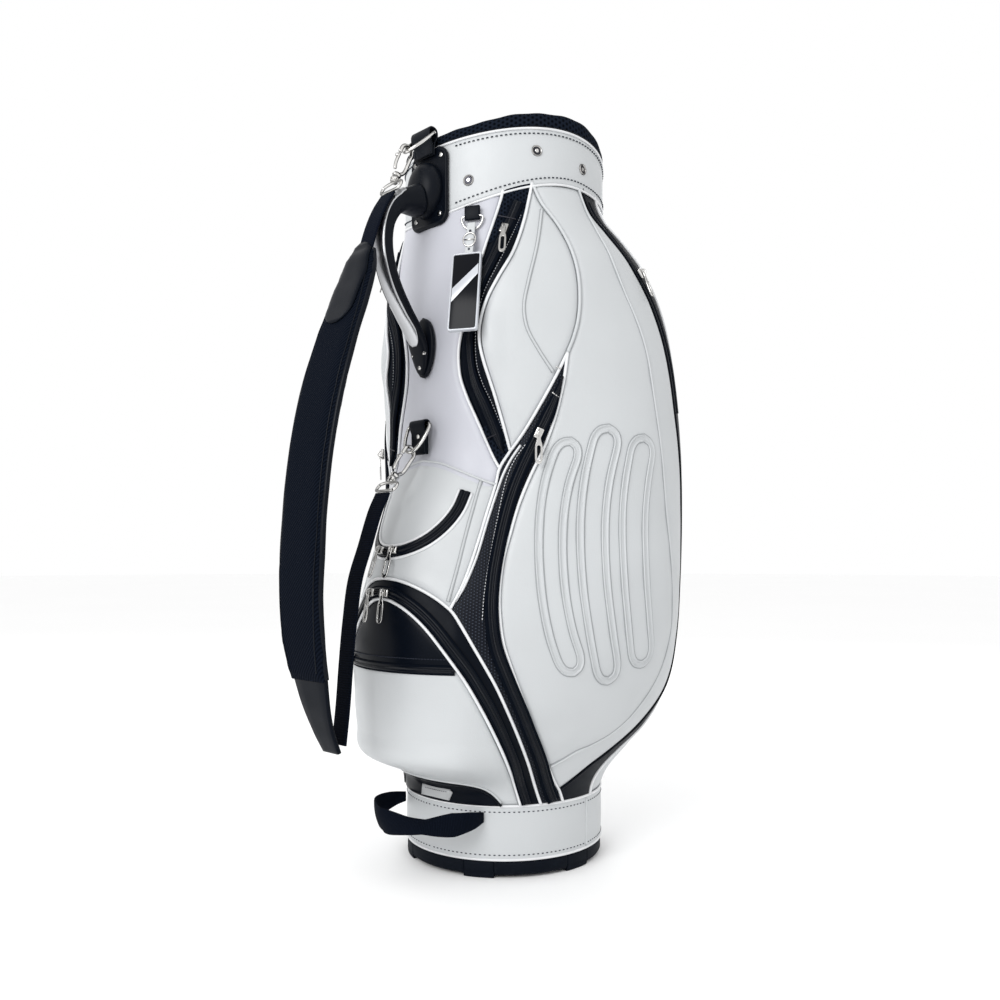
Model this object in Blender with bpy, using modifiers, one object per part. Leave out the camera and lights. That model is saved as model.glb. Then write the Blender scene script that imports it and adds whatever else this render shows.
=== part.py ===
"""Golf bag: a padded bag with a six-way mouth, a single shoulder strap, a moulded handle and zipped pockets.

Metres, +Z up. The origin is the middle of the base's underside, on the axis of the tube. The spine, with the
handle, the strap and the two front pockets, faces -Y. The big garment pockets are at +X and -X.
"""

import math

import bmesh
import bpy
from mathutils import Matrix, Vector

# ---- driving dimensions ----
TUBE_RADIUS = 0.118
TUBE_WALL = 0.0025
BASE_RADIUS = 0.121
BASE_CUP_TOP = 0.0195
BASE_BAND_TOP = 0.083
COLLAR_RADIUS = 0.1235
COLLAR_WALL = 0.0028
COLLAR_LOW, COLLAR_DIP = 0.794, 0.036  # lower edge at the back and sides, and how far it dips in front
COLLAR_TOP, COLLAR_WAVE = 0.848, 0.008  # mean height of the upper edge, and its rise at the sides
RIM_TOP, RIM_WAVE = 0.864, 0.011
RIM_INNER = 0.105
SKIN = 0.003
GAP = 0.0004
STRAP_WIDTH = 0.080
WEBBING_WIDTH = 0.025
WIRE = 0.002  # radius of the ring wire

# ---- outline of the soft body: radius in millimetres at each angle from the spine, section by section ----
ANGLES = (0, 27, 36, 46, 60, 75, 90, 105, 120, 130, 145, 162, 180)
SECTIONS = (
    (0.083, (122.5,) * 13),
    (0.105, (126, 127, 128, 128, 127, 127, 127, 128, 129, 129, 128, 126, 125)),
    (0.135, (186, 180, 165, 150, 141, 140, 141, 147, 153, 153, 145, 134, 130)),
    (0.165, (192, 186, 174, 160, 154, 156, 160, 168, 177, 177, 161, 144, 137)),
    (0.210, (196, 189, 182, 171, 168, 170, 176, 188, 201, 201, 174, 151, 143)),
    (0.270, (197, 190, 181, 174, 172, 177, 188, 203, 212, 212, 180, 155, 147)),
    (0.335, (193, 173, 169, 165, 166, 175, 190, 206, 216, 216, 183, 156, 148)),
    (0.420, (163, 150, 147, 148, 156, 170, 187, 205, 218, 218, 184, 156, 148)),
    (0.480, (133, 132, 133, 142, 155, 169, 187, 205, 218, 218, 184, 156, 148)),
    (0.540, (129, 131, 139, 148, 157, 168, 184, 202, 214, 214, 181, 155, 148)),
    (0.600, (129, 132, 152, 153, 158, 168, 181, 197, 208, 208, 178, 154, 146)),
    (0.660, (129, 131, 145, 150, 154, 162, 171, 184, 195, 195, 171, 151, 144)),
    (0.710, (128, 129, 135, 141, 146, 152, 159, 168, 176, 176, 160, 145, 139)),
    (0.745, (125, 125.5, 127, 130, 134, 138, 142, 148, 153, 153, 145, 136, 131)),
    (0.770, (122.5, 122.5, 123, 124, 126, 128, 129.5, 131, 132.5, 132.5, 130, 128, 126)),
    (0.800, (122.3,) * 13),
)
# Seam between the front pieces and the side pockets: (height, angle from the spine).
FRONT_SEAM = (
    (0.0836, 63), (0.112, 58), (0.150, 52), (0.190, 46.5), (0.230, 41), (0.270, 33.5), (0.309, 26.5),
    (0.335, 29), (0.365, 32), (0.410, 36.5), (0.458, 42), (0.500, 34.5), (0.545, 25), (0.585, 20.5),
    (0.620, 22), (0.655, 27), (0.700, 33.5), (0.735, 38.5),
)
FRONT_SEAM_TOP = 42
BACK_SEAM = 124
BALL_POCKET_TOP = 0.335
FRONT_POCKET_TOP = 0.458

# ---- colours ----
WHITE = (0.80, 0.81, 0.83)
NAVY = (0.010, 0.013, 0.024)
RUBBER = (0.018, 0.020, 0.026)
NICKEL = (0.72, 0.71, 0.69)
SATIN = (0.55, 0.56, 0.57)


def clear_scene():
    for obj in list(bpy.data.objects):
        bpy.data.objects.remove(obj, do_unlink=True)


def collection(name):
    made = bpy.data.collections.new(name)
    bpy.context.scene.collection.children.link(made)
    return made


clear_scene()
PARTS = collection("golf_staff_bag")
CUTTERS = collection("cutters")


def material(name, colour, roughness, metallic=0.0):
    made = bpy.data.materials.new(name)
    made.use_nodes = True
    shader = made.node_tree.nodes["Principled BSDF"]
    shader.inputs["Base Color"].default_value = (*colour, 1.0)
    shader.inputs["Roughness"].default_value = roughness
    shader.inputs["Metallic"].default_value = metallic
    return made


def finish_object(name, mesh, colour, roughness=0.5, metallic=0.0):
    obj = bpy.data.objects.new(name, mesh)
    PARTS.objects.link(obj)
    mesh.materials.clear()
    mesh.materials.append(material(name + "_finish", colour, roughness, metallic))
    return obj


def mesh_of(name, vertices, faces):
    mesh = bpy.data.meshes.new(name)
    bm = bmesh.new()
    points = [bm.verts.new(v) for v in vertices]
    for face in faces:
        bm.faces.new([points[i] for i in face])
    bmesh.ops.recalc_face_normals(bm, faces=bm.faces)
    bm.to_mesh(mesh)
    bm.free()
    mesh.shade_smooth()
    mesh.set_sharp_from_angle(angle=math.radians(40))
    return mesh


# ---- outline functions ----
def smooth_value(knots, values, x):
    """Cubic curve through the knots, level at both ends."""
    x = min(max(x, knots[0]), knots[-1])
    i = next(k for k in range(len(knots) - 1) if x <= knots[k + 1])
    step = knots[i + 1] - knots[i]
    t = (x - knots[i]) / step

    def slope(k):
        if k in (0, len(knots) - 1):
            return 0.0
        return (values[k + 1] - values[k - 1]) / (knots[k + 1] - knots[k - 1]) * step

    return (
        (2 * t**3 - 3 * t**2 + 1) * values[i]
        + (t**3 - 2 * t**2 + t) * slope(i)
        + (3 * t**2 - 2 * t**3) * values[i + 1]
        + (t**3 - t**2) * slope(i + 1)
    )


def skin_radius(angle, height):
    folded = abs((angle + 180) % 360 - 180)
    heights = [section[0] for section in SECTIONS]
    column = [smooth_value(ANGLES, section[1], folded) for section in SECTIONS]
    return smooth_value(heights, column, height) / 1000


def around(angle, radius, height):
    turn = math.radians(angle)
    return Vector((radius * math.sin(turn), -radius * math.cos(turn), height))


def on_skin(angle, height, lift=0.0):
    return around(angle, skin_radius(angle, height) + lift, height)


def skin_normal(angle, height):
    across = on_skin(angle + 1, height) - on_skin(angle - 1, height)
    up = on_skin(angle, height + 0.003) - on_skin(angle, height - 0.003)
    return across.cross(up).normalized()


def collar_low(angle):
    return COLLAR_LOW - COLLAR_DIP * max(0.0, math.cos(math.radians(angle))) ** 2


def collar_top(angle):
    return COLLAR_TOP - COLLAR_WAVE * math.cos(math.radians(2 * angle))


def rim_top(angle):
    return RIM_TOP - RIM_WAVE * math.cos(math.radians(2 * angle))


def front_seam(height):
    knots = [row[0] for row in FRONT_SEAM]
    values = [row[1] for row in FRONT_SEAM]
    if height > knots[-1]:
        return FRONT_SEAM_TOP
    return next(v for k, v in zip(knots, values) if abs(k - height) < 1e-6)


# ---- builders ----
def shell_patch(name, columns, rows, colour, roughness, top=None, thickness=SKIN):
    """Part of the skin. columns(height) gives the angles of a row; top(angle) replaces the last row's height."""
    grid = []
    for row, height in enumerate(rows):
        angles = columns(height)
        last = row == len(rows) - 1
        grid.append([on_skin(a, top(a) if last and top else height) for a in angles])
    width = len(grid[0])
    vertices = [v for line in grid for v in line]
    faces = [
        (j * width + i, j * width + i + 1, (j + 1) * width + i + 1, (j + 1) * width + i)
        for j in range(len(grid) - 1)
        for i in range(width - 1)
    ]
    mesh = bpy.data.meshes.new(name)
    mesh.from_pydata(vertices, [], faces)
    mesh.shade_smooth()
    obj = finish_object(name, mesh, colour, roughness)
    wall = obj.modifiers.new("wall", "SOLIDIFY")
    wall.thickness = thickness
    wall.offset = -1.0
    wall.use_even_offset = False
    return obj


def spread(low, high, count):
    return [low + (high - low) * i / (count - 1) for i in range(count)]


def seam_inset(angle, height):
    return math.degrees(GAP / skin_radius(angle, height))


def loft(name, rings, colour, roughness=0.5, metallic=0.0, closed=False):
    """A solid through rings of equal point count, capped at both ends unless it closes on itself."""
    count = len(rings[0])
    vertices = [v for ring in rings for v in ring]
    joins = len(rings) if closed else len(rings) - 1
    faces = []
    for j in range(joins):
        k = (j + 1) % len(rings)
        for i in range(count):
            n = (i + 1) % count
            faces.append((j * count + i, j * count + n, k * count + n, k * count + i))
    if not closed:
        faces.append(tuple(range(count)))
        faces.append(tuple((len(rings) - 1) * count + i for i in range(count)))
    return finish_object(name, mesh_of(name, vertices, faces), colour, roughness, metallic)


def turned(name, profile, colour, roughness=0.5, steps=48):
    """A profile of (radius, height) points, closed on itself, turned about the axis."""
    rings = [[around(360 * i / steps, r, z) for r, z in profile] for i in range(steps)]
    return loft(name, rings, colour, roughness, closed=True)


def path_frames(points):
    """Tangent of each point of an open path."""
    last = len(points) - 1
    return [(points[min(i + 1, last)] - points[max(i - 1, 0)]).normalized() for i in range(len(points))]


def strip(name, points, across, width, thickness, colour, roughness=0.7, metallic=0.0):
    """A flat strap along a path. across is its width direction; width may be one value or one for each point."""
    widths = width if isinstance(width, (list, tuple)) else [width] * len(points)
    rings = []
    for point, tangent, wide in zip(points, path_frames(points), widths):
        side = (across - tangent * across.dot(tangent)).normalized() * wide / 2
        face = tangent.cross(side).normalized() * thickness / 2
        rings.append([point - side - face, point + side - face, point + side + face, point - side + face])
    return loft(name, rings, colour, roughness, metallic)


def zip_band(name, path, width, lift, thickness, colour=NAVY):
    """A zip tape laid along (angle, height) points of the skin, bent to the skin across its width."""
    centres = [on_skin(a, z) for a, z in path]
    rings = []
    for (angle, height), tangent in zip(path, path_frames(centres)):
        normal = skin_normal(angle, height)
        side = normal.cross(tangent).normalized() * width / 2
        row = []
        for share in (-1.0, 0.0, 1.0):
            point = on_skin(angle, height) + side * share
            row.append((math.degrees(math.atan2(point.x, -point.y)), point.z))
        low = [on_skin(a, z) + normal * lift for a, z in row]
        high = [on_skin(a, z) + normal * (lift + thickness) for a, z in row]
        rings.append(low + high[::-1])
    return loft(name, rings, colour, 0.75)


def wire_mesh(name, points, radius, cyclic=False, resolution=2):
    """A bent wire as a mesh, its caps welded."""
    curve = bpy.data.curves.new(name, "CURVE")
    curve.dimensions = "3D"
    spline = curve.splines.new("POLY")
    spline.points.add(len(points) - 1)
    for slot, point in zip(spline.points, points):
        slot.co = (*point, 1.0)
    spline.use_cyclic_u = cyclic
    curve.bevel_depth = radius
    curve.bevel_resolution = resolution
    curve.use_fill_caps = True
    guide = bpy.data.objects.new(name + "_guide", curve)
    bpy.context.scene.collection.objects.link(guide)
    mesh = bpy.data.meshes.new_from_object(guide.evaluated_get(bpy.context.evaluated_depsgraph_get()))
    bpy.data.objects.remove(guide, do_unlink=True)
    bm = bmesh.new()
    bm.from_mesh(mesh)
    bmesh.ops.remove_doubles(bm, verts=bm.verts, dist=1e-6)
    bmesh.ops.recalc_face_normals(bm, faces=bm.faces)
    bm.to_mesh(mesh)
    bm.free()
    mesh.shade_smooth()
    return mesh


def box_mesh(name, size, place):
    mesh = bpy.data.meshes.new(name)
    bm = bmesh.new()
    bmesh.ops.create_cube(bm, size=1.0, matrix=place @ Matrix.Diagonal((*size, 1.0)))
    bm.to_mesh(mesh)
    bm.free()
    return mesh


def round_mesh(name, radius, length, place, sides=12):
    mesh = bpy.data.meshes.new(name)
    bm = bmesh.new()
    bmesh.ops.create_cone(
        bm, segments=sides, radius1=radius, radius2=radius, depth=length, cap_ends=True, matrix=place
    )
    bm.to_mesh(mesh)
    bm.free()
    mesh.shade_smooth()
    mesh.set_sharp_from_angle(angle=math.radians(40))
    return mesh


def outline_mesh(name, outlines, thickness, place):
    """Flat outlines, the later ones holes in the first, given thickness along the place's own Z."""
    curve = bpy.data.curves.new(name, "CURVE")
    curve.dimensions = "2D"
    curve.fill_mode = "BOTH"
    curve.extrude = thickness / 2
    for outline in outlines:
        spline = curve.splines.new("POLY")
        spline.points.add(len(outline) - 1)
        for slot, (x, y) in zip(spline.points, outline):
            slot.co = (x, y, 0.0, 1.0)
        spline.use_cyclic_u = True
    guide = bpy.data.objects.new(name + "_guide", curve)
    bpy.context.scene.collection.objects.link(guide)
    mesh = bpy.data.meshes.new_from_object(guide.evaluated_get(bpy.context.evaluated_depsgraph_get()))
    bpy.data.objects.remove(guide, do_unlink=True)
    bm = bmesh.new()
    bm.from_mesh(mesh)
    bmesh.ops.remove_doubles(bm, verts=bm.verts, dist=1e-6)
    bmesh.ops.transform(bm, matrix=place, verts=bm.verts)
    bmesh.ops.recalc_face_normals(bm, faces=bm.faces)
    bm.to_mesh(mesh)
    bm.free()
    return mesh


def operand(mesh, target, operation):
    """Adds or cuts a mesh with an exact Boolean; the operand stays as a hidden cutter."""
    cutter = bpy.data.objects.new(mesh.name + "_operand", mesh)
    CUTTERS.objects.link(cutter)
    cutter.hide_render = True
    cutter.display_type = "WIRE"
    modifier = target.modifiers.new(operation.lower(), "BOOLEAN")
    modifier.operation = operation
    modifier.object = cutter
    modifier.solver = "EXACT"


def fused(name, meshes, colour, roughness=0.5, metallic=0.0):
    first = finish_object(name, meshes[0], colour, roughness, metallic)
    for mesh in meshes[1:]:
        operand(mesh, first, "UNION")
    return first


def move_origin(obj, point):
    """Puts an object's origin on its joint's axis without moving its shape."""
    obj.data.transform(Matrix.Translation(-point))
    obj.location = point


def circle(radius, count, centre=(0.0, 0.0), start=0.0, sweep=360.0):
    closed = abs(sweep) >= 360
    steps = count if closed else count - 1
    return [
        (
            centre[0] + radius * math.cos(math.radians(start + sweep * i / steps)),
            centre[1] + radius * math.sin(math.radians(start + sweep * i / steps)),
        )
        for i in range(count)
    ]


def frame_matrix(origin, x_axis, z_axis):
    """A place whose X and Z run along the given directions."""
    z = z_axis.normalized()
    x = (x_axis - z * x_axis.dot(z)).normalized()
    y = z.cross(x)
    return Matrix.Translation(origin) @ Matrix((x, y, z)).transposed().to_4x4()


# ---- base, tube, collar and mouth ----
FOOT_COUNT = 6
FOOT_SWEEP = 17
FOOT_LIFT = 0.003


def make_base():
    inner = BASE_RADIUS - 0.006
    floor_top = FOOT_LIFT + 0.005
    profile = [
        (0.030, FOOT_LIFT),
        (BASE_RADIUS - 0.003, FOOT_LIFT),
        (BASE_RADIUS, FOOT_LIFT + 0.003),
        (BASE_RADIUS, BASE_CUP_TOP),
        (inner, BASE_CUP_TOP),
        (inner, floor_top),
        (0.030, floor_top),
    ]
    cup = turned("base_cup", profile, RUBBER, 0.8)
    hub = round_mesh("hub", 0.034, floor_top - 0.0005, Matrix.Translation((0, 0, (floor_top - 0.0005) / 2)), 24)
    operand(hub, cup, "UNION")
    for index in range(FOOT_COUNT):
        middle = 30 + 360 / FOOT_COUNT * index
        angles = spread(middle - FOOT_SWEEP / 2, middle + FOOT_SWEEP / 2, 4)
        rings = [
            [around(a, r, z) for r, z in ((0.096, 0), (BASE_RADIUS - 0.0006, 0), (BASE_RADIUS - 0.0006, 0.0065), (0.096, 0.0065))]
            for a in angles
        ]
        foot = loft(f"foot_{index}", rings, RUBBER)
        mesh = foot.data
        bpy.data.objects.remove(foot, do_unlink=True)
        operand(mesh, cup, "UNION")
    band = [
        (BASE_RADIUS, BASE_CUP_TOP + GAP),
        (BASE_RADIUS + 0.0005, BASE_CUP_TOP + 0.004),
        (BASE_RADIUS, BASE_CUP_TOP + 0.008),
        (BASE_RADIUS, BASE_BAND_TOP),
        (BASE_RADIUS - 0.0024, BASE_BAND_TOP),
        (BASE_RADIUS - 0.0024, BASE_CUP_TOP + GAP),
    ]
    turned("base_band", band, WHITE, 0.45)


def make_tube():
    low = 0.0088
    top = [collar_top(a) - 0.0005 for a in spread(0, 360, 49)]
    inner = TUBE_RADIUS - TUBE_WALL
    step_radius = BASE_RADIUS - 0.0066
    rings = []
    for i in range(48):
        a = 360 * i / 48
        rings.append(
            [
                around(a, step_radius, low),
                around(a, step_radius, BASE_CUP_TOP + 0.0006),
                around(a, TUBE_RADIUS, BASE_CUP_TOP + 0.0006),
                around(a, TUBE_RADIUS, top[i]),
                around(a, inner, top[i]),
                around(a, inner, BASE_CUP_TOP + 0.004),
                around(a, step_radius - TUBE_WALL, BASE_CUP_TOP),
                around(a, step_radius - TUBE_WALL, low),
            ]
        )
    loft("inner_tube", rings, NAVY, 0.8, closed=True)


def make_collar():
    rings = []
    for i in range(48):
        a = 360 * i / 48
        low, top = collar_low(a), collar_top(a)
        middle = (low + top) / 2
        rings.append(
            [
                around(a, COLLAR_RADIUS - 0.0006, low),
                around(a, COLLAR_RADIUS, low + 0.003),
                around(a, COLLAR_RADIUS, middle),
                around(a, COLLAR_RADIUS, top - 0.003),
                around(a, COLLAR_RADIUS - 0.0006, top),
                around(a, TUBE_RADIUS + GAP, top),
                around(a, TUBE_RADIUS + GAP, low + 0.012),
                around(a, COLLAR_RADIUS - 0.001, low),
            ][:7]
        )
    loft("collar_band", rings, WHITE, 0.45, closed=True)


def make_rim():
    """The padded roll round the mouth."""
    rings = []
    for i in range(48):
        a = 360 * i / 48
        low, top = collar_top(a) + GAP, rim_top(a)
        middle = (COLLAR_RADIUS + RIM_INNER) / 2
        half = (COLLAR_RADIUS - RIM_INNER) / 2
        section = [
            (COLLAR_RADIUS - 0.001, low),
            (COLLAR_RADIUS, low + (top - low) * 0.45),
            (middle + half * 0.62, top - (top - low) * 0.12),
            (middle, top),
            (middle - half * 0.62, top - (top - low) * 0.12),
            (RIM_INNER, low + (top - low) * 0.45),
            (RIM_INNER + 0.001, low),
        ]
        rings.append([around(a, r, z) for r, z in section])
    loft("top_rim", rings, NAVY, 0.85, closed=True)


DIVIDER_ROW = 0.036
DIVIDER_PAD = 0.009
DIVIDER_SHEET = 0.0022


def divider_bars(thickness, low, high, word):
    """The bars of a six-way mouth: two across, and one fore-and-aft."""
    reach = TUBE_RADIUS - TUBE_WALL - 0.0012
    across = math.sqrt(reach**2 - (DIVIDER_ROW + thickness / 2) ** 2)
    height, middle = high - low, (high + low) / 2
    bars = []
    for side in (-1, 1):
        place = Matrix.Translation((0, side * DIVIDER_ROW, middle))
        bars.append(box_mesh(f"{word}_cross_{side}", (2 * across, thickness, height), place))
        length = reach - DIVIDER_ROW
        place = Matrix.Translation((0, side * (DIVIDER_ROW + length / 2), middle))
        bars.append(box_mesh(f"{word}_centre_{side}", (thickness, length - 0.0012, height), place))
    centre = Matrix.Translation((0, 0, middle))
    bars.insert(0, box_mesh(f"{word}_spine", (thickness, 2 * DIVIDER_ROW, height), centre))
    return bars


def make_divider():
    """Padded bars in the mouth, and the full-length fabric walls below them."""
    top = COLLAR_TOP - 0.016
    split = top - 0.040
    bars = divider_bars(DIVIDER_PAD, split, top, "bar")
    walls = divider_bars(DIVIDER_SHEET, 0.030, split + 0.004, "wall")
    fused("divider", bars + walls, NAVY, 0.85)


# ---- skin: spine, pockets and back ----
def heights_between(low, high):
    return [row[0] for row in FRONT_SEAM if low - 1e-6 <= row[0] <= high + 1e-6]


def front_columns(count):
    def columns(height):
        edge = front_seam(height)
        edge -= seam_inset(edge, height)
        return spread(-edge, edge, count)

    return columns


SIDE_SHARES = (0, 0.035, 0.075, 0.12, 0.17, 0.225, 0.29, 0.37, 0.47, 0.59, 0.72, 0.86, 1.0)


def side_columns(side):
    def columns(height):
        low = front_seam(height)
        low += seam_inset(low, height)
        high = BACK_SEAM - 3 * seam_inset(BACK_SEAM, height)
        angles = [low + (high - low) * share for share in SIDE_SHARES]
        return angles if side > 0 else [-a for a in reversed(angles)]

    return columns


def back_columns(count):
    def columns(height):
        inset = 3 * seam_inset(BACK_SEAM, height)
        return spread(BACK_SEAM + inset, 360 - BACK_SEAM - inset, count)

    return columns


def skin_top(angle):
    return collar_low(angle) - 0.0006


def make_skin():
    low = FRONT_SEAM[0][0]
    high = FRONT_SEAM[-1][0]
    everything = heights_between(low, high) + [COLLAR_LOW]
    lower = heights_between(low, BALL_POCKET_TOP)
    middle = heights_between(BALL_POCKET_TOP, FRONT_POCKET_TOP)
    upper = heights_between(FRONT_POCKET_TOP, high) + [COLLAR_LOW]
    middle[0] += GAP
    upper[0] += GAP
    shell_patch("ball_pocket", seam_rows(front_columns(17)), lower, WHITE, 0.45)
    shell_patch("front_pocket", seam_rows(front_columns(11)), middle, WHITE, 0.45)
    shell_patch("spine_panel", seam_rows(front_columns(7)), upper, WHITE, 0.45, skin_top)
    shell_patch("side_pocket_right", seam_rows(side_columns(1)), everything, WHITE, 0.45, skin_top)
    shell_patch("side_pocket_left", seam_rows(side_columns(-1)), everything, WHITE, 0.45, skin_top)
    shell_patch("back_panel", seam_rows(back_columns(9)), everything, NAVY, 0.5, skin_top)


def seam_rows(columns):
    """Reads the seam at the nearest of its own heights, so that neighbours share one edge."""
    knots = [row[0] for row in FRONT_SEAM]

    def near(height):
        if height > knots[-1] + 1e-3:
            return columns(height)
        return columns(min(knots, key=lambda k: abs(k - height)))

    return near


# ---- zips ----
ARCH_TOP = 0.3245
ARCH = (
    (51.5, 0.111), (48.0, 0.136), (43.5, 0.168), (38.3, 0.204), (32.5, 0.238), (26.2, 0.267), (19.3, 0.292),
    (12, 0.311), (5, 0.3225),
)


def arch_path():
    """The arched track of the ball pocket, from the left foot over the top to the right foot."""
    return [(-a, z) for a, z in ARCH] + [(0, ARCH_TOP)] + [(a, z) for a, z in reversed(ARCH)]


SMILE = ((27, 0.437), (24.5, 0.417), (20, 0.398), (14, 0.382), (7, 0.372))
GARMENT_ZIP = (
    (67.3, 0.563), (63.5, 0.532), (58.5, 0.500), (52.8, 0.467), (48, 0.436), (44.4, 0.405), (41.7, 0.372),
    (39.9, 0.338), (39.5, 0.303), (41, 0.268), (44.8, 0.236), (49.5, 0.203), (55, 0.167), (61.5, 0.132), (68, 0.102),
)
UPPER_ZIP = (
    (51, 0.764), (46, 0.735), (40.3, 0.703), (35, 0.675), (30.7, 0.645), (28, 0.613), (28.4, 0.583), (31.6, 0.555),
    (35.6, 0.532), (40, 0.506), (44, 0.480),
)
BAND_WIDTH = 0.017
GARMENT_LIFT = 0.0022
TAPE = 0.0016


def mirrored(path, side):
    return [(side * a, z) for a, z in path]


def make_zips():
    smile = [(-a, z) for a, z in SMILE] + [(0, 0.369)] + [(a, z) for a, z in reversed(SMILE)]
    zip_band("zip_ball_pocket", arch_path(), BAND_WIDTH, 0.0020, TAPE)
    zip_band("zip_front_pocket", smile, 0.014, 0.0016, TAPE)
    for side, word in ((1, "right"), (-1, "left")):
        zip_band(f"zip_garment_{word}", mirrored(GARMENT_ZIP, side), 0.018, GARMENT_LIFT, TAPE)
        zip_band(f"zip_upper_{word}", mirrored(UPPER_ZIP, side), 0.018, GARMENT_LIFT, TAPE)


SLIDER_SIZE = (0.0085, 0.012, 0.0045)
SLIDER_LIFT = 0.0052
PULL_LENGTH = 0.034
PULL_WIDTH = 0.0085
PULL_THICK = 0.0016
PULL_EYE = 0.0009
PULL_STANDOFF = 0.0014


def pull_outline():
    """A tab with a small eye at the top and a long window."""
    half = PULL_WIDTH / 2
    outer = [(-half, -0.004), (-half * 0.5, PULL_EYE), (half * 0.5, PULL_EYE), (half, -0.004)]
    outer += [(half, -PULL_LENGTH + 0.003), (half * 0.5, -PULL_LENGTH)]
    outer += [(-half * 0.5, -PULL_LENGTH), (-half, -PULL_LENGTH + 0.003)]
    window = [(-half * 0.45, -0.010), (-half * 0.45, -0.026), (half * 0.45, -0.026), (half * 0.45, -0.010)]
    return [outer, window]


def make_slider(word, angle, height, along, lift, hang=None):
    """A slider on its tape and the pull that hangs from it. along is the track's (angle, height) direction."""
    normal = skin_normal(angle, height)
    here = on_skin(angle, height) + normal * lift
    track = (on_skin(angle + along[0], height + along[1]) - on_skin(angle, height)).normalized()
    body_place = frame_matrix(here + normal * (SLIDER_SIZE[2] / 2), track.cross(normal), normal)
    slider = fused(f"slider_{word}", [box_mesh(f"slider_{word}", SLIDER_SIZE, body_place)], NICKEL, 0.25, 1.0)
    bevel = slider.modifiers.new("edges", "BEVEL")
    bevel.width = 0.0012
    bevel.segments = 1
    down = hang or Vector((0, 0, -1))
    down = (down - normal * down.dot(normal)).normalized()
    pivot = here + normal * (SLIDER_SIZE[2] + PULL_STANDOFF)
    place = frame_matrix(pivot, down.cross(normal) * -1, normal)
    pull = fused(f"pull_{word}", [outline_mesh(f"pull_{word}", pull_outline(), PULL_THICK, place)], NICKEL, 0.2, 1.0)
    move_origin(pull, pivot)
    return slider, pull


def make_sliders():
    for side, word in ((1, "right"), (-1, "left")):
        make_slider(f"garment_{word}", side * 58.5, 0.500, (side * 5, 0.032), SLIDER_LIFT)
        make_slider(f"upper_{word}", side * 44.5, 0.727, (side * 5, 0.030), SLIDER_LIFT)
        make_slider(f"rear_{word}", side * 110, 0.700, (side * -7, 0.036), 0.0010)
        make_slider(f"ball_{word}", side * 3.1, 0.3238, (side, -0.0002), SLIDER_LIFT)
        make_slider(f"front_{word}", side * 3.1, 0.3697, (side, 0.0), SLIDER_LIFT)
    make_slider("valuables", -22, 0.247, (1, 0.0), 0.0010)


# ---- handle ----
HANDLE_PATH = (
    (-0.1520, 0.7730), (-0.1665, 0.7680), (-0.1810, 0.7560), (-0.1905, 0.7370), (-0.1935, 0.7130), (-0.1890, 0.6880),
    (-0.1790, 0.6650), (-0.1640, 0.6430), (-0.1500, 0.6240), (-0.1410, 0.6080),
)
GRIP_WIDTH = 0.022
GRIP_DEPTH = 0.013
INLAY_WIDTH = 0.013
INLAY_DEPTH = 0.0016


def oval_rings(points, width, depth, count=10, power=0.75):
    rings = []
    for point, tangent in zip(points, path_frames(points)):
        outward = Vector((1, 0, 0)).cross(tangent).normalized()
        ring = []
        for i in range(count):
            turn = 2 * math.pi * (i + 0.5) / count
            c, s = math.cos(turn), math.sin(turn)
            x = math.copysign(abs(c) ** power, c) * width / 2
            d = math.copysign(abs(s) ** power, s) * depth / 2
            ring.append(point + Vector((x, 0, 0)) + outward * d)
        rings.append(ring)
    return rings


def plate_mesh(name, outline, radius, thickness):
    """A plate bent round the axis: outline of (arc length from the middle, height), with thickness outwards."""
    inner = [around(math.degrees(s / radius), radius, z) for s, z in outline]
    outer = [around(math.degrees(s / radius), radius + thickness, z) for s, z in outline]
    count = len(outline)
    faces = [tuple(range(count)), tuple(range(count, 2 * count))]
    faces += [(i, (i + 1) % count, count + (i + 1) % count, count + i) for i in range(count)]
    return mesh_of(name, inner + outer, faces)


def dome_mesh(name, centre, radii, flat_at):
    mesh = bpy.data.meshes.new(name)
    bm = bmesh.new()
    place = Matrix.Translation(centre) @ Matrix.Diagonal((*radii, 1.0))
    bmesh.ops.create_uvsphere(bm, u_segments=16, v_segments=10, radius=1.0, matrix=place)
    back = bmesh.ops.bisect_plane(
        bm, geom=bm.verts[:] + bm.edges[:] + bm.faces[:], plane_co=(0, flat_at, 0), plane_no=(0, 1, 0), clear_outer=True
    )
    bmesh.ops.contextual_create(bm, geom=[item for item in back["geom_cut"] if isinstance(item, bmesh.types.BMEdge)])
    bmesh.ops.recalc_face_normals(bm, faces=bm.faces)
    bm.to_mesh(mesh)
    bm.free()
    mesh.shade_smooth()
    return mesh


def bent_plate(name, half_width, low, high, radius, thickness, rows=2, corner=0.008):
    columns = 7
    rings = []
    for i in range(columns):
        s = -half_width + 2 * half_width * i / (columns - 1)
        trim = corner if i in (0, columns - 1) else 0.0
        angle = math.degrees(s / radius)
        rings.append(
            [
                around(angle, radius, low + trim),
                around(angle, radius + thickness, low + trim),
                around(angle, radius + thickness, high - trim),
                around(angle, radius, high - trim),
            ]
        )
    obj = loft(name, rings, NAVY, 0.4)
    return obj


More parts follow.
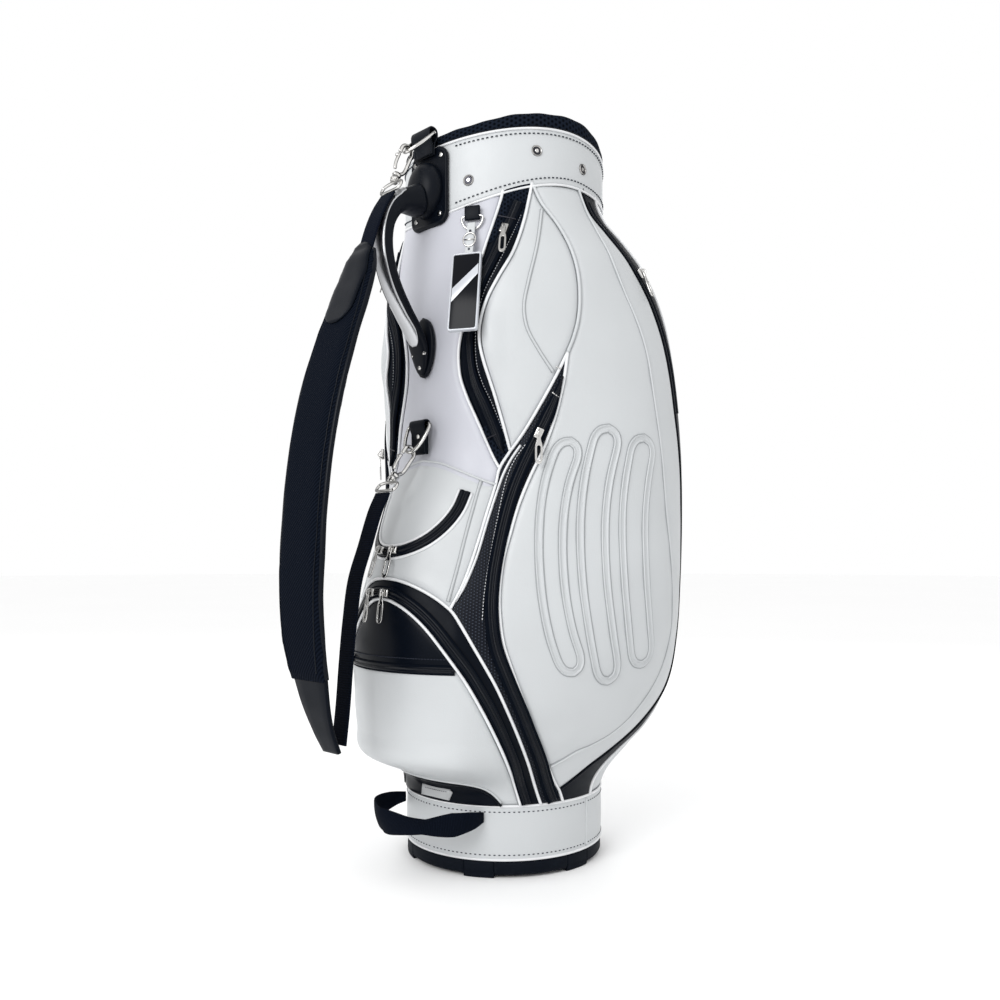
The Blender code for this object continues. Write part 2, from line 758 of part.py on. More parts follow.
def make_handle():
    bracket = bent_plate("handle_bracket", 0.034, 0.736, 0.842, COLLAR_RADIUS + 0.0030, 0.0035)
    operand(dome_mesh("dome", (0, -0.1265, 0.780), (0.0225, 0.022, 0.033), -0.1278), bracket, "UNION")
    points = [Vector((0, y, z)) for y, z in HANDLE_PATH]
    grip = loft("handle_grip", oval_rings(points, GRIP_WIDTH, GRIP_DEPTH), NAVY, 0.4)
    foot = bent_plate("foot_plate", 0.0165, 0.572, 0.640, 0.1325, 0.0045, corner=0.020)
    mesh = foot.data
    bpy.data.objects.remove(foot, do_unlink=True)
    operand(mesh, grip, "UNION")
    outer = []
    for point, tangent in list(zip(points, path_frames(points)))[1:-1]:
        outward = Vector((1, 0, 0)).cross(tangent).normalized()
        if outward.y > 0:
            outward.negate()
        outer.append(point + outward * (GRIP_DEPTH / 2 + INLAY_DEPTH / 2 + GAP))
    strip("handle_inlay", outer, Vector((1, 0, 0)), INLAY_WIDTH, INLAY_DEPTH, SATIN, 0.3, 1.0)


# ---- rings, tabs and hooks ----
def d_ring_points(centre, hang, half_width, depth):
    """A D of wire: a straight bar along X at its centre and a bow towards hang."""
    points = [Vector((-half_width, 0, 0)), Vector((half_width, 0, 0))]
    steps = 12
    for i in range(1, steps):
        turn = math.pi * i / steps
        points.append(Vector((half_width * math.cos(turn), 0, 0)) + hang * (0.004 + (depth - 0.004) * math.sin(turn)))
    return [centre + p for p in points]


def tab_mesh(name, roll, width, length, lean=0.0):
    """A leather tab hung from a seam: a roll with a hole for the ring's bar, and a tail flat on the bag."""
    outer = circle(0.0058, 12, start=90, sweep=180)
    outline = outer + [(-0.0022, -length), (0.0022, -length), (0.0022, -0.0054)]
    outline += circle(0.0058, 7, start=-60, sweep=150)[:-1]
    hole = circle(0.0030, 10)
    place = Matrix.Translation(roll) @ Matrix(((0, 0, 1), (-1, 0, 0), (0, 1, 0))).to_4x4()
    place = place @ Matrix.Rotation(lean, 4, "Z")
    return outline_mesh(name, [outline, hole], width, place)


UPPER_ROLL = Vector((0, -0.1330, 0.8520))
LOWER_ROLL = Vector((0, -0.1400, 0.5170))
UPPER_HOOK = Vector((0, -0.43, -0.90)).normalized()
LOWER_HOOK = Vector((0, -0.62, -0.78)).normalized()
RING_DEPTH = 0.036
HOOK_PLAY = 0.0015


def hook_frame(ring_bottom, towards):
    down = towards.normalized()
    side = Vector((1, 0, 0)).cross(down).normalized()
    return ring_bottom, down, side


def make_hook(word, eye, towards):
    """A swivel snap hook in the plane X = 0: a bent wire, its barrel, the webbing's loop and the sprung gate."""
    origin, down, side = hook_frame(eye, towards)
    half = 0.0075

    def at(d, s):
        return origin + down * d + side * s

    bow = [at(0.034, 0.0), at(0.029, 0.004), at(0.022, half), at(0.008, half)]
    bow += [at(-half * math.sin(math.pi * i / 8), half * math.cos(math.pi * i / 8)) for i in range(9)]
    bow += [at(0.006, -half)]
    wire = wire_mesh(f"hook_{word}", bow, 0.0023)
    barrel_place = frame_matrix(at(0.0385, 0), Vector((1, 0, 0)), down)
    barrel = round_mesh(f"barrel_{word}", 0.0052, 0.012, barrel_place)
    loop = [at(0.046, 0) + Vector((x, 0, 0)) + down * d for x, d in (
        (-0.0155, 0.002), (-0.0165, 0.006), (-0.0155, 0.011), (0.0155, 0.011), (0.0165, 0.006), (0.0155, 0.002),
        (0.005, -0.0015), (-0.005, -0.0015))]
    eye_loop = wire_mesh(f"loop_{word}", loop, 0.0018, cyclic=True)
    fused(f"hook_{word}", [barrel, wire, eye_loop], NICKEL, 0.2, 1.0)
    gate = wire_mesh(f"gate_{word}", [at(0.0090, -half), at(0.020, -half + 0.0002), at(0.0285, -half + 0.0022)], 0.0019)
    gate_obj = finish_object(f"gate_{word}", gate, NICKEL, 0.2, 1.0)
    move_origin(gate_obj, at(0.0285, -half + 0.0022))


def make_ring_set():
    upper_hang = Vector((0, -0.72, -0.69)).normalized()
    lower_hang = Vector((0, -0.42, -0.91)).normalized()
    tab_upper = fused("tab_upper", [tab_mesh("tab_upper", UPPER_ROLL, 0.026, 0.020)], NAVY, 0.45)
    tab_lower = fused("tab_lower", [tab_mesh("tab_lower", LOWER_ROLL, 0.024, 0.034)], NAVY, 0.45)
    upper = wire_mesh("ring_upper", d_ring_points(UPPER_ROLL, upper_hang, 0.0185, RING_DEPTH), WIRE, cyclic=True)
    lower = wire_mesh("ring_lower", d_ring_points(LOWER_ROLL, lower_hang, 0.0185, RING_DEPTH), WIRE, cyclic=True)
    for name, mesh, roll in (("ring_upper", upper, UPPER_ROLL), ("ring_lower", lower, LOWER_ROLL)):
        ring = finish_object(name, mesh, NICKEL, 0.2, 1.0)
        move_origin(ring, roll)
    for word, roll, hang, down in (("upper", UPPER_ROLL, upper_hang, UPPER_HOOK), ("lower", LOWER_ROLL, lower_hang, LOWER_HOOK)):
        make_hook(word, roll + hang * RING_DEPTH + down * HOOK_PLAY, down)


# ---- shoulder strap ----
LEADER = ((-0.1866, 0.7698), (-0.1980, 0.7520), (-0.2085, 0.7290), (-0.2170, 0.7035))
PAD = (
    (-0.2170, 0.7010), (-0.2260, 0.6740), (-0.2400, 0.6380), (-0.2580, 0.5920), (-0.2760, 0.5350), (-0.2890, 0.4720),
    (-0.2970, 0.4050), (-0.3000, 0.3400), (-0.2970, 0.2800), (-0.2890, 0.2350),
)
TAIL = ((-0.2885, 0.2338), (-0.2820, 0.2080), (-0.2720, 0.1790), (-0.2620, 0.1580))
WEBBING = ((-0.1940, 0.4354), (-0.2050, 0.4140), (-0.2180, 0.3780), (-0.2320, 0.3390), (-0.2390, 0.2950), (-0.2440, 0.2500),
           (-0.2480, 0.2050), (-0.2530, 0.1640))


def in_plane(path):
    return [Vector((0, y, z)) for y, z in path]


def make_strap():
    x_axis = Vector((1, 0, 0))
    strip("strap_leader", in_plane(LEADER), x_axis, WEBBING_WIDTH, 0.003, NAVY, 0.8)
    widths = [0.034, 0.058, 0.072, 0.079, STRAP_WIDTH, STRAP_WIDTH, STRAP_WIDTH, 0.079, 0.074, 0.062]
    points = in_plane(PAD)
    rings = []
    for index, (ring, wide) in enumerate(zip(oval_rings(points, 1.0, 1.0, 10, 0.7), widths)):
        depth = 0.010 if index in (0, len(widths) - 1) else 0.015
        centre, tangent = points[index], path_frames(points)[index]
        outward = x_axis.cross(tangent).normalized()
        rings.append([centre + Vector(((p - centre).x * wide, 0, 0)) + outward * ((p - centre).dot(outward) * depth) for p in ring])
    loft("strap_pad", rings, NAVY, 0.8)
    strip("strap_tail", in_plane(TAIL), x_axis, [0.060, 0.050, 0.038, 0.030], 0.005, NAVY, 0.5)
    strip("strap_webbing", in_plane(WEBBING), x_axis, WEBBING_WIDTH, 0.003, NAVY, 0.8)


# ---- tag on its ring, and the grab loop ----
TAG_ANGLE = 28
TAG_ROLL_HEIGHT = 0.7530


def make_tag():
    """A small ring under the collar, and a plain tag in a clear sleeve that hangs from it."""
    out = around(TAG_ANGLE, 1.0, 0.0)
    side = around(TAG_ANGLE + 90, 1.0, 0.0)
    roll = around(TAG_ANGLE, 0.1300, TAG_ROLL_HEIGHT)
    place = frame_matrix(roll, side, Vector((0, 0, 1)))
    tab = box_mesh("towel_tab", (0.018, 0.0045, 0.016), place @ Matrix.Translation((0, 0.0005, 0.0)))
    hole = round_mesh("towel_hole", 0.0016, 0.030, place @ Matrix.Translation((0, 0, -0.004)) @ Matrix.Rotation(math.pi / 2, 4, "Y"), 8)
    towel_tab = fused("towel_tab", [tab], NAVY, 0.5)
    operand(hole, towel_tab, "DIFFERENCE")
    ring_points = [(-0.0125, -0.004), (0.0125, -0.004)]
    ring_points += [(0.0125 * math.cos(math.pi * i / 8), -0.006 - 0.013 * math.sin(math.pi * i / 8)) for i in range(1, 8)]
    towel_ring = wire_mesh("towel_ring", [place @ Vector((x, 0, z)) for x, z in ring_points], 0.0012, cyclic=True)
    ring_obj = finish_object("towel_ring", towel_ring, NICKEL, 0.2, 1.0)
    move_origin(ring_obj, place @ Vector((0, 0, -0.004)))
    lean = place @ Vector((0, 0, -0.0155))
    hang = (out * 0.20 - Vector((0, 0, 1))).normalized()
    loop = [lean + out * 0.0032 - hang * 0.0030, lean + out * 0.0042 + hang * 0.006]
    loop += [lean + out * 0.005 + hang * 0.018, lean + out * 0.005 + hang * 0.036]
    strip("tag_strap", loop, side, 0.010, 0.0026, WHITE, 0.5)
    sleeve_place = frame_matrix(lean + out * 0.0098 + hang * 0.083, side, (out - hang * out.dot(hang)))
    sleeve = fused("tag_sleeve", [box_mesh("tag_sleeve", (0.034, 0.092, 0.0060), sleeve_place)], NAVY, 0.15)
    edges = sleeve.modifiers.new("edges", "BEVEL")
    edges.width = 0.0015
    edges.segments = 1


GRAB_PATH = (
    (-0.0680, -0.1045, 0.0700), (-0.0695, -0.1210, 0.0700), (-0.0630, -0.1460, 0.0700), (-0.0430, -0.1680, 0.0700),
    (-0.0150, -0.1805, 0.0700), (0.0150, -0.1805, 0.0700), (0.0430, -0.1680, 0.0700), (0.0630, -0.1460, 0.0700),
    (0.0695, -0.1210, 0.0700), (0.0680, -0.1045, 0.0700),
)


def make_grab_loop():
    points = [Vector(p) for p in GRAB_PATH]
    widths = [0.010, 0.016] + [0.022] * (len(points) - 4) + [0.016, 0.010]
    strip("grab_loop", points, Vector((0, 0, 1)), widths, 0.003, NAVY, 0.8)


make_base()
make_tube()
make_collar()
make_rim()
make_divider()
make_skin()
make_zips()
make_sliders()
make_handle()
make_ring_set()
make_strap()
make_tag()
make_grab_loop()
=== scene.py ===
"""Looks of the golf bag: leather panels, pipings, zips, metal fittings and padding, built on the CAD part.

Metres, +Z up. The spine, with the handle and the strap, faces -Y. Places on the bag's outside are written as
(angle, height): degrees round from the spine towards +X, and metres above the floor.
"""

import math

import bmesh
import bpy
import numpy as np
from mathutils import Matrix, Vector
from mathutils.bvhtree import BVHTree


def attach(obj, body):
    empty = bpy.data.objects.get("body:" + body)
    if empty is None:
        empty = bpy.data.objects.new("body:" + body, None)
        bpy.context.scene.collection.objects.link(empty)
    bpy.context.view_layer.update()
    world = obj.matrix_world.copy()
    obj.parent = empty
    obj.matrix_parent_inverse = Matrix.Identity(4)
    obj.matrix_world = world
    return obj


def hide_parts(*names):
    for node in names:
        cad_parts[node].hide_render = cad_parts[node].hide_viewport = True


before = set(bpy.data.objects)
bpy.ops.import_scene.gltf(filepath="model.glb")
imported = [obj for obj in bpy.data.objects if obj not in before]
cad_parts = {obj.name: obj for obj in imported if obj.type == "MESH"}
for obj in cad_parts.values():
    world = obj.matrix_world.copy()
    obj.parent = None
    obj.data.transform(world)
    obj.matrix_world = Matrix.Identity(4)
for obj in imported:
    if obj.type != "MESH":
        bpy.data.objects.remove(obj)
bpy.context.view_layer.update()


# ---- driving dimensions, as in the CAD part ----
TUBE_RADIUS = 0.118
BASE_RADIUS = 0.121
BASE_CUP_TOP = 0.0195
BASE_BAND_TOP = 0.083
COLLAR_RADIUS = 0.1235
RIM_INNER = 0.105
LINING_RADIUS = 0.1155
ANGLES = (0, 27, 36, 46, 60, 75, 90, 105, 120, 130, 145, 162, 180)
SECTIONS = (
    (0.083, (122.5,) * 13),
    (0.105, (126, 127, 128, 128, 127, 127, 127, 128, 129, 129, 128, 126, 125)),
    (0.135, (186, 180, 165, 150, 141, 140, 141, 147, 153, 153, 145, 134, 130)),
    (0.165, (192, 186, 174, 160, 154, 156, 160, 168, 177, 177, 161, 144, 137)),
    (0.210, (196, 189, 182, 171, 168, 170, 176, 188, 201, 201, 174, 151, 143)),
    (0.270, (197, 190, 181, 174, 172, 177, 188, 203, 212, 212, 180, 155, 147)),
    (0.335, (193, 173, 169, 165, 166, 175, 190, 206, 216, 216, 183, 156, 148)),
    (0.420, (163, 150, 147, 148, 156, 170, 187, 205, 218, 218, 184, 156, 148)),
    (0.480, (133, 132, 133, 142, 155, 169, 187, 205, 218, 218, 184, 156, 148)),
    (0.540, (129, 131, 139, 148, 157, 168, 184, 202, 214, 214, 181, 155, 148)),
    (0.600, (129, 132, 152, 153, 158, 168, 181, 197, 208, 208, 178, 154, 146)),
    (0.660, (129, 131, 145, 150, 154, 162, 171, 184, 195, 195, 171, 151, 144)),
    (0.710, (128, 129, 135, 141, 146, 152, 159, 168, 176, 176, 160, 145, 139)),
    (0.745, (125, 125.5, 127, 130, 134, 138, 142, 148, 153, 153, 145, 136, 131)),
    (0.770, (122.5, 122.5, 123, 124, 126, 128, 129.5, 131, 132.5, 132.5, 130, 128, 126)),
    (0.800, (122.3,) * 13),
)
SECTION_HEIGHTS = [section[0] for section in SECTIONS]
SECTION_RADII = np.array([section[1] for section in SECTIONS], float)
METRES_PER_DEGREE = math.radians(0.15)  # arc length of a degree at a typical radius
FLAT_SCALE = (METRES_PER_DEGREE, 1.0)  # turns (angle, height) into metres on the flattened skin
SEAM_STEP = 0.003
SLOPE_TURN = 0.4  # degrees and metres over which a surface's slope is measured
SLOPE_RISE = 0.0015
X_AXIS = Vector((1, 0, 0))
Z_AXIS = Vector((0, 0, 1))


# ---- smooth curves and the bag's surface ----
def spline_weights(knots, x, level_ends):
    """How much each knot's value counts at each x, on a cubic curve through the knots."""
    knots = np.asarray(knots, float)
    x = np.clip(np.asarray(x, float), knots[0], knots[-1])
    last = len(knots) - 1
    low = np.clip(np.searchsorted(knots, x, side="right") - 1, 0, last - 1)
    step = knots[low + 1] - knots[low]
    t = (x - knots[low]) / step
    rows = np.arange(len(x))
    weights = np.zeros((len(x), len(knots)))
    np.add.at(weights, (rows, low), 2 * t**3 - 3 * t**2 + 1)
    np.add.at(weights, (rows, low + 1), 3 * t**2 - 2 * t**3)
    for end, share in ((low, t**3 - 2 * t**2 + t), (low + 1, t**3 - t**2)):
        after = np.minimum(end + 1, last)
        before = np.maximum(end - 1, 0)
        slope = share * step / (knots[after] - knots[before])
        if level_ends:
            slope = np.where((end > 0) & (end < last), slope, 0.0)
        np.add.at(weights, (rows, after), slope)
        np.add.at(weights, (rows, before), -slope)
    return weights


def lengths_along(points):
    return np.concatenate(([0.0], np.cumsum(np.linalg.norm(np.diff(points, axis=0), axis=1))))


def read_along(spots, lengths, points):
    """The points' coordinates read at the given places along them."""
    return np.column_stack([np.interp(spots, lengths, column) for column in points.T])


def smooth_line(points, step=SEAM_STEP, count=None):
    """A smooth curve through the points, evenly sampled."""
    points = np.asarray(points, float)
    knots = lengths_along(points)
    count = count or max(3, int(knots[-1] / step) + 1)
    return spline_weights(knots, np.linspace(0, knots[-1], count), False) @ points


def seam(points, count=None):
    """A smooth curve through (angle, height) points."""
    return smooth_line(np.asarray(points, float) * FLAT_SCALE, count=count) / FLAT_SCALE


def joined(*lines):
    """Several curves as one, leaving out the repeated ends."""
    return np.concatenate([lines[0], *[line[1:] for line in lines[1:]]])


def on_side(line, side):
    """The line itself for side 1, and its mirror image for side -1."""
    return np.asarray(line, float) * (side, 1)


def mirrored(line):
    return on_side(line, -1)


def skin_radius(angles, heights):
    folded = np.abs((angles + 180) % 360 - 180)
    columns = spline_weights(ANGLES, folded, True)
    rows = spline_weights(SECTION_HEIGHTS, heights, True)
    return ((rows @ SECTION_RADII) * columns).sum(axis=1) / 1000


def cylinder(radius):
    return lambda angles, heights: np.full(len(angles), radius)


def around(angles, radii, heights):
    turn = np.radians(angles)
    return np.column_stack((radii * np.sin(turn), -radii * np.cos(turn), heights))


def on_surface(surface, angles, heights, lift=0.0):
    """Points that stand off a surface by lift, and the outward normals there."""
    angles = np.asarray(angles, float)
    heights = np.asarray(heights, float)
    across = [around(angles + d, surface(angles + d, heights), heights) for d in (SLOPE_TURN, -SLOPE_TURN)]
    up = [around(angles, surface(angles, heights + d), heights + d) for d in (SLOPE_RISE, -SLOPE_RISE)]
    normals = np.cross(across[0] - across[1], up[0] - up[1])
    normals /= np.linalg.norm(normals, axis=1)[:, None]
    points = around(angles, surface(angles, heights), heights)
    return points + normals * np.broadcast_to(lift, len(points))[:, None], normals


def collar_low(angles):
    return 0.794 - 0.036 * np.maximum(0, np.cos(np.radians(angles))) ** 2


def collar_top(angles):
    return 0.848 - 0.008 * np.cos(np.radians(2 * angles))


def rim_top(angles):
    return 0.864 - 0.011 * np.cos(np.radians(2 * angles))


# ---- materials ----
class Finish:
    """A node material, built up step by step."""

    def __init__(self, name, colour, roughness, metallic=0.0, coat=0.0, specular=0.5):
        self.material = bpy.data.materials.new(name)
        self.material.use_nodes = True
        self.nodes = self.material.node_tree.nodes
        self.shader = self.nodes["Principled BSDF"]
        self.colour = colour
        settings = {
            "Base Color": (*colour, 1.0), "Roughness": roughness, "Metallic": metallic,
            "Specular IOR Level": specular, "Coat Weight": coat, "Coat Roughness": 0.12,
        }
        for setting, value in settings.items():
            self.shader.inputs[setting].default_value = value
        self.place = self.nodes.new("ShaderNodeTexCoord").outputs["Object"]
        self.sheet_place = self.nodes.new("ShaderNodeUVMap").outputs["UV"]

    def link(self, source, target):
        self.material.node_tree.links.new(source, target)
        return target

    def math(self, operation, *values):
        node = self.nodes.new("ShaderNodeMath")
        node.operation = operation
        for socket, value in zip(node.inputs, values):
            if isinstance(value, (int, float)):
                socket.default_value = value
            else:
                self.link(value, socket)
        return node.outputs[0]

    def noise(self, scale, detail=2.0):
        node = self.nodes.new("ShaderNodeTexNoise")
        node.inputs["Scale"].default_value = scale
        node.inputs["Detail"].default_value = detail
        self.link(self.place, node.inputs["Vector"])
        return node.outputs["Fac"]

    def cells(self, scale):
        node = self.nodes.new("ShaderNodeTexVoronoi")
        node.inputs["Scale"].default_value = scale
        self.link(self.place, node.inputs["Vector"])
        return node.outputs["Distance"]

    def waves(self, direction, pitch, place=None):
        """A cosine of the distance along a direction, from -1 to 1."""
        dot = self.nodes.new("ShaderNodeVectorMath")
        dot.operation = "DOT_PRODUCT"
        self.link(place or self.sheet_place, dot.inputs[0])
        dot.inputs[1].default_value = [part * 2 * math.pi / pitch for part in direction]
        return self.math("COSINE", dot.outputs["Value"])

    def hexagons(self, pitch):
        """1 in the middle of each cell of a honeycomb, 0 between the cells."""
        total = self.waves((1, 0, 0), pitch)
        for turn in (60, 120):
            direction = (math.cos(math.radians(turn)), math.sin(math.radians(turn)), 0)
            total = self.math("ADD", total, self.waves(direction, pitch))
        return self.spread(total, -1.0, 2.2)

    def spread(self, value, low, high, to_low=0.0, to_high=1.0):
        node = self.nodes.new("ShaderNodeMapRange")
        self.link(value, node.inputs["Value"])
        for name, number in zip(("From Min", "From Max", "To Min", "To Max"), (low, high, to_low, to_high)):
            node.inputs[name].default_value = number
        return node.outputs["Result"]

    def paint(self, value, low_colour, high_colour):
        """Base colour between two colours, by a value from 0 to 1."""
        ramp = self.nodes.new("ShaderNodeValToRGB")
        ramp.color_ramp.elements[0].color = (*low_colour, 1.0)
        ramp.color_ramp.elements[1].color = (*high_colour, 1.0)
        self.link(value, ramp.inputs["Fac"])
        self.link(ramp.outputs["Color"], self.shader.inputs["Base Color"])
        return self

    def mottle(self, scale, amount):
        """A slight unevenness of the colour."""
        low = [part * (1 - amount) for part in self.colour]
        high = [min(1.0, part * (1 + amount)) for part in self.colour]
        return self.paint(self.spread(self.noise(scale, 3.0), 0.3, 0.7), low, high)

    def rough_range(self, low, high, scale=60):
        self.link(self.spread(self.noise(scale), 0.3, 0.7, low, high), self.shader.inputs["Roughness"])
        return self

    def bump(self, height, strength, distance):
        """Adds a bump on top of those already there."""
        node = self.nodes.new("ShaderNodeBump")
        node.inputs["Strength"].default_value = strength
        node.inputs["Distance"].default_value = distance
        self.link(height, node.inputs["Height"])
        target = self.shader.inputs["Normal"]
        if target.is_linked:
            self.link(target.links[0].from_socket, node.inputs["Normal"])
        self.link(node.outputs["Normal"], target)
        return self


def leather(name, colour, roughness, grain=1.0, specular=0.5):
    made = Finish(name, colour, roughness, specular=specular)
    made.mottle(7, 0.035)
    made.rough_range(roughness - 0.05, roughness + 0.06, 45)
    made.bump(made.cells(750), 0.16 * grain, 0.0004)
    made.bump(made.noise(1900, 3.0), 0.12 * grain, 0.0003)
    return made.material


def metal(name, colour, roughness, scale=120, dark=0.35):
    """Plated metal with painted reflections: bands of darker and lighter colour by viewing angle stand for
    the dark and light walls that an even sky lacks.
    """
    made = Finish(name, colour, roughness, metallic=1.0)
    facing = made.nodes.new("ShaderNodeLayerWeight")
    facing.inputs["Blend"].default_value = 0.35
    painted_reflection = made.nodes.new("ShaderNodeValToRGB")
    ramp = painted_reflection.color_ramp
    ramp.interpolation = "EASE"
    reflection_shades = ((0.0, 0.75), (0.16, 1.0), (0.34, dark), (0.52, dark * 1.1), (0.68, 1.0), (1.0, 0.8))
    for number, (spot, shade) in enumerate(reflection_shades):
        stop = ramp.elements[number] if number < 2 else ramp.elements.new(spot)
        stop.position = spot
        stop.color = (*[part * shade for part in colour], 1.0)
    made.link(facing.outputs["Facing"], painted_reflection.inputs["Fac"])
    made.link(painted_reflection.outputs["Color"], made.shader.inputs["Base Color"])
    made.rough_range(roughness, roughness + 0.05, scale)
    return made.material


def air_mesh(name, colour, light, pitch):
    """Knitted mesh with a honeycomb of holes. The sunken holes are painted darker and the raised threads
    between them lighter: painted shade and painted light.
    """
    made = Finish(name, colour, 0.85, specular=0.03)
    holes = made.hexagons(pitch)
    made.paint(holes, light, colour)
    made.bump(made.spread(holes, 0.0, 1.0, 1.0, 0.0), 0.7, 0.0009)
    return made.material


def mesh_with_painted_glints(name, colour, light, pitch):
    """Coated mesh of the gussets, with rows of small light dots on the tops of its bumps: painted highlights.
    """
    made = Finish(name, colour, 0.42, specular=0.14)
    holes = made.hexagons(pitch)
    made.paint(made.spread(holes, 0.88, 0.98), colour, light)
    made.bump(holes, 0.5, 0.0006)
    return made.material


def woven(name, colour, pitch, light_share=1.6):
    """Webbing or tape with ribs across its length, their crests painted lighter and their troughs darker:
    painted light and shade on the ribs.
    """
    made = Finish(name, colour, 0.8, specular=0.04)
    ribs = made.spread(made.waves((1, 0, 0), pitch), -1, 1)
    made.paint(ribs, [part * 0.6 for part in colour], [part * light_share for part in colour])
    made.bump(ribs, 0.6, 0.0005)
    made.bump(made.noise(1600), 0.2, 0.0003)
    return made.material


def twill(name, dark, light, pitch, direction):
    """Padding mesh with slanting ribs, their crests painted lighter and their troughs darker: painted light
    and shade on the ribs.
    """
    made = Finish(name, dark, 0.85, specular=0.03)
    ribs = made.spread(made.waves(direction, pitch, made.place), -1, 1)
    made.paint(ribs, dark, light)
    made.bump(ribs, 0.7, 0.0008)
    made.bump(made.noise(1400), 0.3, 0.0004)
    return made.material


def plain(name, colour, roughness, scale=300, strength=0.08, coat=0.0, specular=0.5):
    """Moulded plastic, rubber, vinyl or thread: a slightly uneven colour and surface."""
    made = Finish(name, colour, roughness, coat=coat, specular=specular)
    made.mottle(40, 0.06)
    made.bump(made.noise(scale, 3.0), strength, 0.0004)
    return made.material


WHITE_LEATHER = leather("white_leather", (0.500, 0.518, 0.530), 0.44)
SPINE_LEATHER = leather("white_leather_spine", (0.470, 0.478, 0.525), 0.44)
BLACK_LEATHER = leather("black_leather", (0.0013, 0.0027, 0.0060), 0.36, 0.7, specular=0.07)
WEDGE_LEATHER = leather("charcoal_leather", (0.0045, 0.0062, 0.0095), 0.46, 1.0, specular=0.10)
# Painted shade: darker white leather for the flat strips beside embossed seams, standing for the shadow in
# their grooves.
PAINTED_GROOVE_SHADE = leather("white_leather_painted_shade", (0.30, 0.315, 0.325), 0.5)
GREY_LEATHER = leather("light_grey_leather", (0.42, 0.43, 0.44), 0.5)
WHITE_VINYL = plain("white_piping_vinyl", (0.70, 0.71, 0.725), 0.28, 500, 0.04, coat=0.3)
BLACK_VINYL = plain("black_piping_vinyl", (0.0013, 0.0027, 0.0060), 0.28, 500, 0.05, specular=0.12)
# The meshes, webbings, zip tape and lining below carry painted light and shade on their threads, ribs and
# bumps, as their functions above say.
RIM_MESH = air_mesh("rim_air_mesh", (0.0006, 0.0012, 0.0026), (0.0075, 0.0110, 0.0190), 0.0046)
PAD_MESH = twill("strap_ribbed_mesh", (0.0012, 0.0022, 0.0050), (0.0050, 0.0075, 0.0140), 0.0030,
                 (0.72, 0.0, -0.69))
GUSSET_MESH = mesh_with_painted_glints("gusset_mesh_painted_glints", (0.0015, 0.0030, 0.0070), (0.040, 0.050, 0.070), 0.0030)
TAPE = woven("zip_tape", (0.0020, 0.0035, 0.0070), 0.0011)
WEBBING = woven("ribbed_webbing", (0.0026, 0.0042, 0.0090), 0.0026)
LOOP_WEBBING = woven("soft_webbing", (0.0020, 0.0035, 0.0075), 0.0018)
LINING = woven("woven_lining", (0.012, 0.014, 0.022), 0.0016, 1.3)
FLEECE = plain("brushed_fleece", (0.008, 0.010, 0.016), 0.92, 900, 0.5, specular=0.15)
RUBBER = plain("base_rubber", (0.0022, 0.0040, 0.0080), 0.62, 700, 0.25, specular=0.08)
SOFT_PLASTIC = plain("soft_touch_plastic", (0.0015, 0.0028, 0.0060), 0.40, 1200, 0.12, specular=0.12)
TEETH = plain("coil_teeth", (0.0035, 0.0050, 0.0090), 0.28, 900, 0.05, specular=0.25)
# The metals below carry painted reflections, as metal says; dark sets how dark the darkest painted band is.
NICKEL = metal("polished_nickel", (0.80, 0.79, 0.77), 0.10, dark=0.22)
SATIN = metal("satin_silver", (0.60, 0.61, 0.63), 0.28, 40, dark=0.6)
SMOKY = metal("smoky_nickel", (0.46, 0.45, 0.44), 0.16, dark=0.20)
DARK_METAL = metal("dark_metal", (0.05, 0.05, 0.06), 0.35, dark=0.5)
DARK_THREAD = plain("dark_thread", (0.022, 0.026, 0.038), 0.7, 2500, 0.2, specular=0.1)
GREY_THREAD = plain("grey_thread", (0.35, 0.36, 0.38), 0.7, 2500, 0.2)
LIGHT_THREAD = plain("light_thread", (0.62, 0.63, 0.65), 0.6, 2500, 0.2)
GLOSS = plain("tag_gloss", (0.0015, 0.0022, 0.0045), 0.16, 90, 0.03, specular=0.12)
# The clear edge of the tag, also used for the painted glare across the tag's face.
TAG_FILM_AND_GLARE = plain("tag_clear_edge_and_painted_glare", (0.50, 0.52, 0.56), 0.12, 90, 0.03, coat=0.8)


# ---- mesh builders ----
def new_piece(name, mesh, material, body="bag"):
    obj = bpy.data.objects.new(name, mesh)
    bpy.context.scene.collection.objects.link(obj)
    mesh.materials.clear()
    mesh.materials.append(material)
    mesh.shade_smooth()
    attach(obj, body)
    return obj


def grid_mesh(name, points, around_columns=False, around_rows=False, caps=False, sheet=None):
    """A mesh over a grid of points, rows by columns, with a UV map in metres."""
    rows, columns = points.shape[:2]
    index = np.arange(rows * columns).reshape(rows, columns)
    if around_rows:
        index = np.vstack((index, index[:1]))
    if around_columns:
        index = np.hstack((index, index[:, :1]))
    quads = np.stack((index[:-1, :-1], index[:-1, 1:], index[1:, 1:], index[1:, :-1]), axis=-1).reshape(-1,
                                                                                                        4)
    faces = quads.tolist()
    if caps:
        faces.append(index[0, :columns][::-1].tolist())
        faces.append(index[-1, :columns].tolist())
    mesh = bpy.data.meshes.new(name)
    mesh.from_pydata(points.reshape(-1, 3).tolist(), [], faces)
    if sheet is None:
        across = np.linalg.norm(np.diff(points, axis=1), axis=2).mean(axis=0)
        u = lengths_along(points.mean(axis=1))
        v = np.concatenate(([0.0], np.cumsum(across)))
        sheet = np.stack(np.meshgrid(u, v, indexing="ij"), axis=-1)
    layer = mesh.uv_layers.new(name="UVMap")
    corners = np.zeros(len(mesh.loops), np.int32)
    mesh.loops.foreach_get("vertex_index", corners)
    layer.data.foreach_set("uv", sheet.reshape(-1, 2)[corners].astype(np.float32).ravel())
    return mesh


